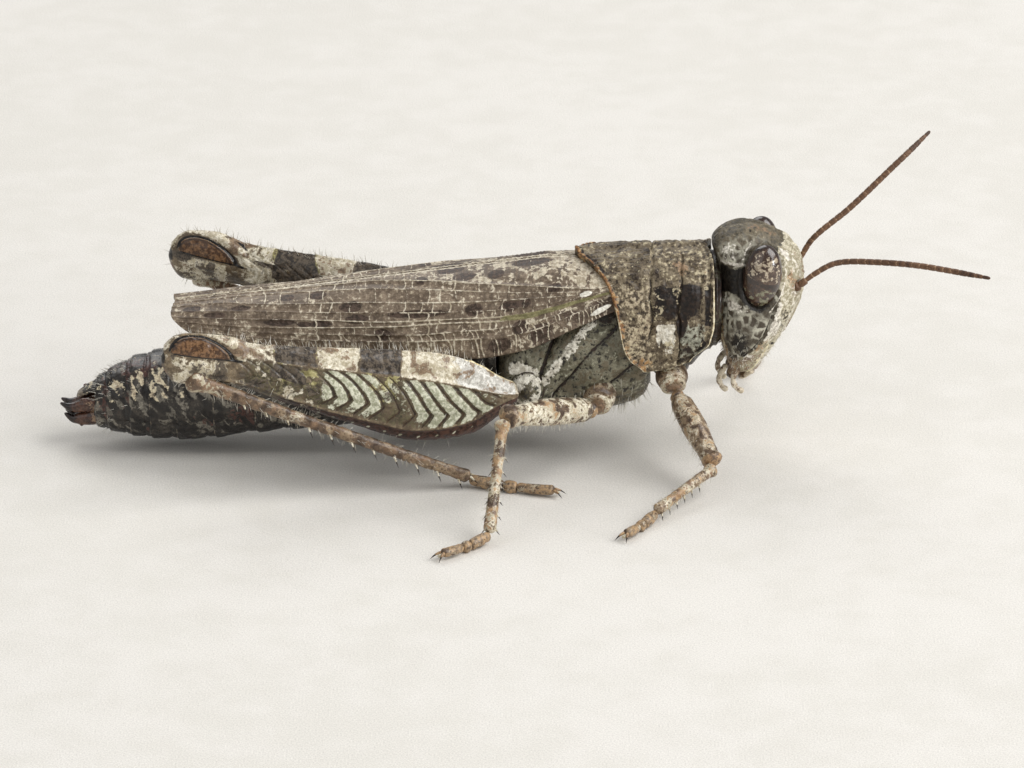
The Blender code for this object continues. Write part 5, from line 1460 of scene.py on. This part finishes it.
def buildHindShins():
    form = shinForm
    finish = shellMaterial("legShell", legLook)
    wide, tall = curve(form["wide"]), curve(form["tall"])
    places = 0.2 + 0.76 * np.arange(form["spines"]) / (form["spines"] - 1)
    for name, side in sides.items():
        back = thighForm["reach"][name]
        heel, ankle = np.array(form["heel"]) + (back, 0, 0), np.array(form["ankle"]) + (back, 0, 0)
        path = line(heel, ankle, (0, 0, -0.05))
        points, t, turn, tips = tube(path, wide, tall, (0, 0, 1), 260, 36, (0.2, 0.14))
        band = strip(t, -0.05, 0.13, 0.02) + 0.7 * strip(t, 0.34, 0.4, 0.03)
        low = noise(points, 0.28, 91 + side)
        marks = limited(cream=0.6 * band + 0.34 + 0.35 * low, orange=0.4 * fade(t, 0.45, 0.8) + 0 * turn,
                        brown=0.5 + 0.4 * low, dark=0.46 - 0.25 * band + 0.45 * noise(points, 0.2, 93))
        shape = newShape()
        addTube(shape, raised(points, 0.016 * noise(points, 0.12, 92)), tips, side, **marks)
        addSpineRows(shape, path, wide, places, ((0, 0.75, -1), (0, -0.75, -1)), form["spineLength"],
                     form["spineThick"], side)
        for way in form["spurs"]:
            root = ankle + np.array((0.02, 0.1 * np.sign(way[1]), 0.05))
            addSpine(shape, root, way, form["spurLength"], form["spineThick"], side, cream=0.8)
        makePiece("shinHind" + name.title(), shape, finish, "hind_leg_shell", "tibia_hind_" + name)
        plantHairs("shinHairs" + name.title(), points, strip(t, 0.1, 0.95, 0.05), "shin", (0.5, 0, -0.1),
                   "hind_leg_shell", side)
        shape = newShape()
        addFoot(shape, ankle, form["footHeading"], form["footLength"], side, form["footSize"])
        makePiece("footHind" + name.title(), shape, finish, "hind_leg_shell", "tarsus_hind_" + name)
    return finish


walkingLegs = {
    "fore_right": {"root": (4.9, 0.85, 2.95), "hip": (5.02, 1.68, 2.42), "knee": (6.2, 4.0, 0.9),
                   "ankle": (4.35, 6.2, 0.36), "heading": (-0.55, 0.84), "foot": 1.6},
    "fore_left": {"root": (4.9, 0.85, 2.95), "hip": (5.02, 1.68, 2.42), "knee": (6.6, 4.05, 2.85),
                  "ankle": (7.3, 5.3, 0.36), "heading": (0.36, 0.93), "foot": 1.55},
    "mid_right": {"root": (2.8, 1.0, 2.3), "hip": (2.6, 2.0, 1.95), "knee": (-0.27, 5.2, 2.99),
                  "ankle": (-0.68, 7.85, 0.36), "heading": (-0.75, 0.66), "foot": 1.75},
    "mid_left": {"root": (2.8, 1.0, 2.3), "hip": (2.5, 2.05, 2.0), "knee": (-0.6, 4.6, 4.3),
                 "ankle": (-1.35, 5.25, 0.5), "heading": (-0.8, 0.6), "foot": 1.75},
}
walkingForm = {
    "fore": {"thigh": [(0, 0.24), (0.05, 0.24), (0.18, 0.33), (0.5, 0.37), (0.85, 0.29), (0.94, 0.31),
                       (1, 0.28)],
             "shin": [(0, 0.2), (0.06, 0.23), (0.14, 0.165), (0.6, 0.155), (0.94, 0.18), (1, 0.16)],
             "cream": 0.54, "orange": 0.42, "dark": 0.26},
    "mid": {"thigh": [(0, 0.26), (0.05, 0.26), (0.15, 0.36), (0.5, 0.41), (0.86, 0.31), (0.95, 0.34),
                      (1, 0.29)],
            "shin": [(0, 0.21), (0.05, 0.25), (0.12, 0.175), (0.6, 0.165), (0.95, 0.19), (1, 0.16)],
            "cream": 0.72, "orange": 0.3, "dark": 0.34},
    "coxa": [(0, 0.5), (0.45, 0.5), (0.65, 0.44), (0.8, 0.36), (0.92, 0.26), (1, 0.16)],
    "hindCoxa": [(0, 0.6), (0.4, 0.6), (0.62, 0.53), (0.8, 0.4), (0.92, 0.27), (1, 0.16)],
    "hindHip": ((0.5, 1.0, 2.5), (0.42, 2.16, 2.55)),
    "spines": 6, "spineLength": 0.3, "spineThick": 0.038,
}


def addHipJoint(shape, root, tip, size, side, seed):
    # its marks serve the leg's finish and the trunk's
    points, t, turn, tips = tube(line(root, tip), curve(size), curve(size), (0, 0, 1), 60, 48, (0.3, 0.26))
    ringed = -0.05 * bell(t - 0.7, 0.03) + 0.04 * bell(t - 0.78, 0.05) - 0.04 * bell(t - 0.88, 0.02)
    mottle, speckles = noise(points, 0.3, seed), noise(points, 0.22, seed + 1)
    cream = 0.5 * bell(t - 0.78, 0.08) + 0.36 + 0.4 * mottle
    marks = limited(cream=cream, pale=cream - 0.1, brown=0.3 + 0.4 * fade(t, 0.8, 0.95) + 0 * turn,
                    orange=0.24 + 0.24 * fade(t, 0.6, 0.9) + 0 * turn,
                    dark=0.5 * strip(t, 0.2, 0.68, 0.08) + 0.35 * speckles + 0.5 * bell(t - 0.88, 0.02))
    addTube(shape, raised(points, ringed + 0.015 * noise(points, 0.2, seed + 2)), tips, side, **marks)


def buildWalkingThigh(label, node, hip, knee, form, finish, side):
    shape = newShape()
    way = knee - hip
    path = line(hip + way * 0.02, knee, (0, 0, 0.06))
    size = curve(form["thigh"])
    points, t, turn, tips = tube(path, size, lambda s: 1.04 * size(s), (0, 0, 1), 150, 48, (0.2, 0.24))
    ridge = bell(np.sin(turn - 0.7), 0.12) + bell(np.sin(turn + 0.9), 0.12)
    joint = bell(t - 0.075, 0.014)
    height = 0.02 * ridge * strip(t, 0.1, 0.9, 0.05) - 0.05 * joint + 0.014 * noise(points, 0.15, 98)
    height += 0.05 * bell(t - 0.93, 0.03) * fade(np.sin(turn), 0, 0.5)
    height -= 0.05 * bell(t - 0.97, 0.02) * fade(-np.sin(turn), 0, 0.5)
    low, fine = noise(points, 0.33, 99 + side), noise(points, 0.17, 101)
    ends = fade(t, 0.88, 0.95) + 1 - fade(t, 0.04, 0.09)
    marks = limited(cream=form["cream"] + 0.35 * low - 0.2 * ends, brown=0.3 + 0.5 * fine,
                    orange=form["orange"] + 0.25 * ends + 0.3 * low,
                    dark=form["dark"] + 0.55 * fine + 0.25 * joint)
    addTube(shape, raised(points, height), tips, side, **marks)
    makePiece("thigh" + label, shape, finish, "leg_shell", "femur_" + node)
    under = strip(t, 0.1, 0.93, 0.05) * (0.15 + fade(-np.sin(turn), 0.2, 0.9))
    lean = 0.4 * way / np.linalg.norm(way)
    plantHairs("thighHairs" + label, points, under, "walkingThigh", lean, "leg_shell", side)


def buildWalkingShin(label, node, knee, ankle, form, finish, side):
    shape = newShape()
    down = ankle - knee
    path = line(knee + down / np.linalg.norm(down) * 0.03 - (0, 0, 0.04), ankle)
    size = curve(form["shin"])
    points, t, turn, tips = tube(path, size, size, (0, 0, 1), 130, 32, (0.14, 0.12))
    bands = bell(t - 0.14, 0.05) + bell(t - 0.48, 0.07) + bell(t - 0.84, 0.06)
    low, fine = noise(points, 0.3, 103), noise(points, 0.18, 104)
    marks = limited(cream=form["cream"] + 0.25 * bands + 0.3 * low, orange=0.5 + 0.3 * low,
                    brown=0.34 + 0.5 * fine, dark=form["dark"] + 0.5 * fine - 0.2 * bands)
    addTube(shape, raised(points, 0.012 * noise(points, 0.12, 102)), tips, side, **marks)
    places = 0.3 + 0.64 * np.arange(walkingForm["spines"]) / (walkingForm["spines"] - 1)
    across = np.cross(down, (0, 0, 1))
    across /= np.linalg.norm(across)
    ways = (across * 0.8 - (0, 0, 0.9), -across * 0.8 - (0, 0, 0.9))
    addSpineRows(shape, path, size, places, ways, walkingForm["spineLength"], walkingForm["spineThick"], side)
    makePiece("shin" + label, shape, finish, "leg_shell", "tibia_" + node)
    lean = 0.5 * down / np.linalg.norm(down)
    plantHairs("shinHairs" + label, points, strip(t, 0.1, 0.97, 0.05), "walkingShin", lean, "leg_shell", side)


def buildWalkingLegs(finish):
    for node, leg in walkingLegs.items():
        kind, sideName = node.split("_")
        label, side = kind.title() + sideName.title(), sides[sideName]
        hip, knee, ankle = (np.array(leg[key], float) for key in ("hip", "knee", "ankle"))
        shape = newShape()
        addHipJoint(shape, leg["root"], hip, walkingForm["coxa"], side, 95)
        makePiece("coxa" + label, shape, finish, "leg_shell", "coxa_" + node)
        buildWalkingThigh(label, node, hip, knee, walkingForm[kind], finish, side)
        buildWalkingShin(label, node, knee, ankle, walkingForm[kind], finish, side)
        shape = newShape()
        addFoot(shape, ankle, leg["heading"], leg["foot"], side)
        makePiece("foot" + label, shape, finish, "leg_shell", "tarsus_" + node)
    hipFinish = shellMaterial("hipShell", trunkLook)
    for name, side in sides.items():
        shape = newShape()
        addHipJoint(shape, *walkingForm["hindHip"], walkingForm["hindCoxa"], side, 105)
        makePiece("coxaHind" + name.title(), shape, hipFinish, "leg_shell", "coxa_hind_" + name)


buildWings()
buildFoldedWings()
print("wings ready")
buildThighs()
buildWalkingLegs(buildHindShins())
print("legs ready")

print("triangles", sum(count for name, count in triangles))
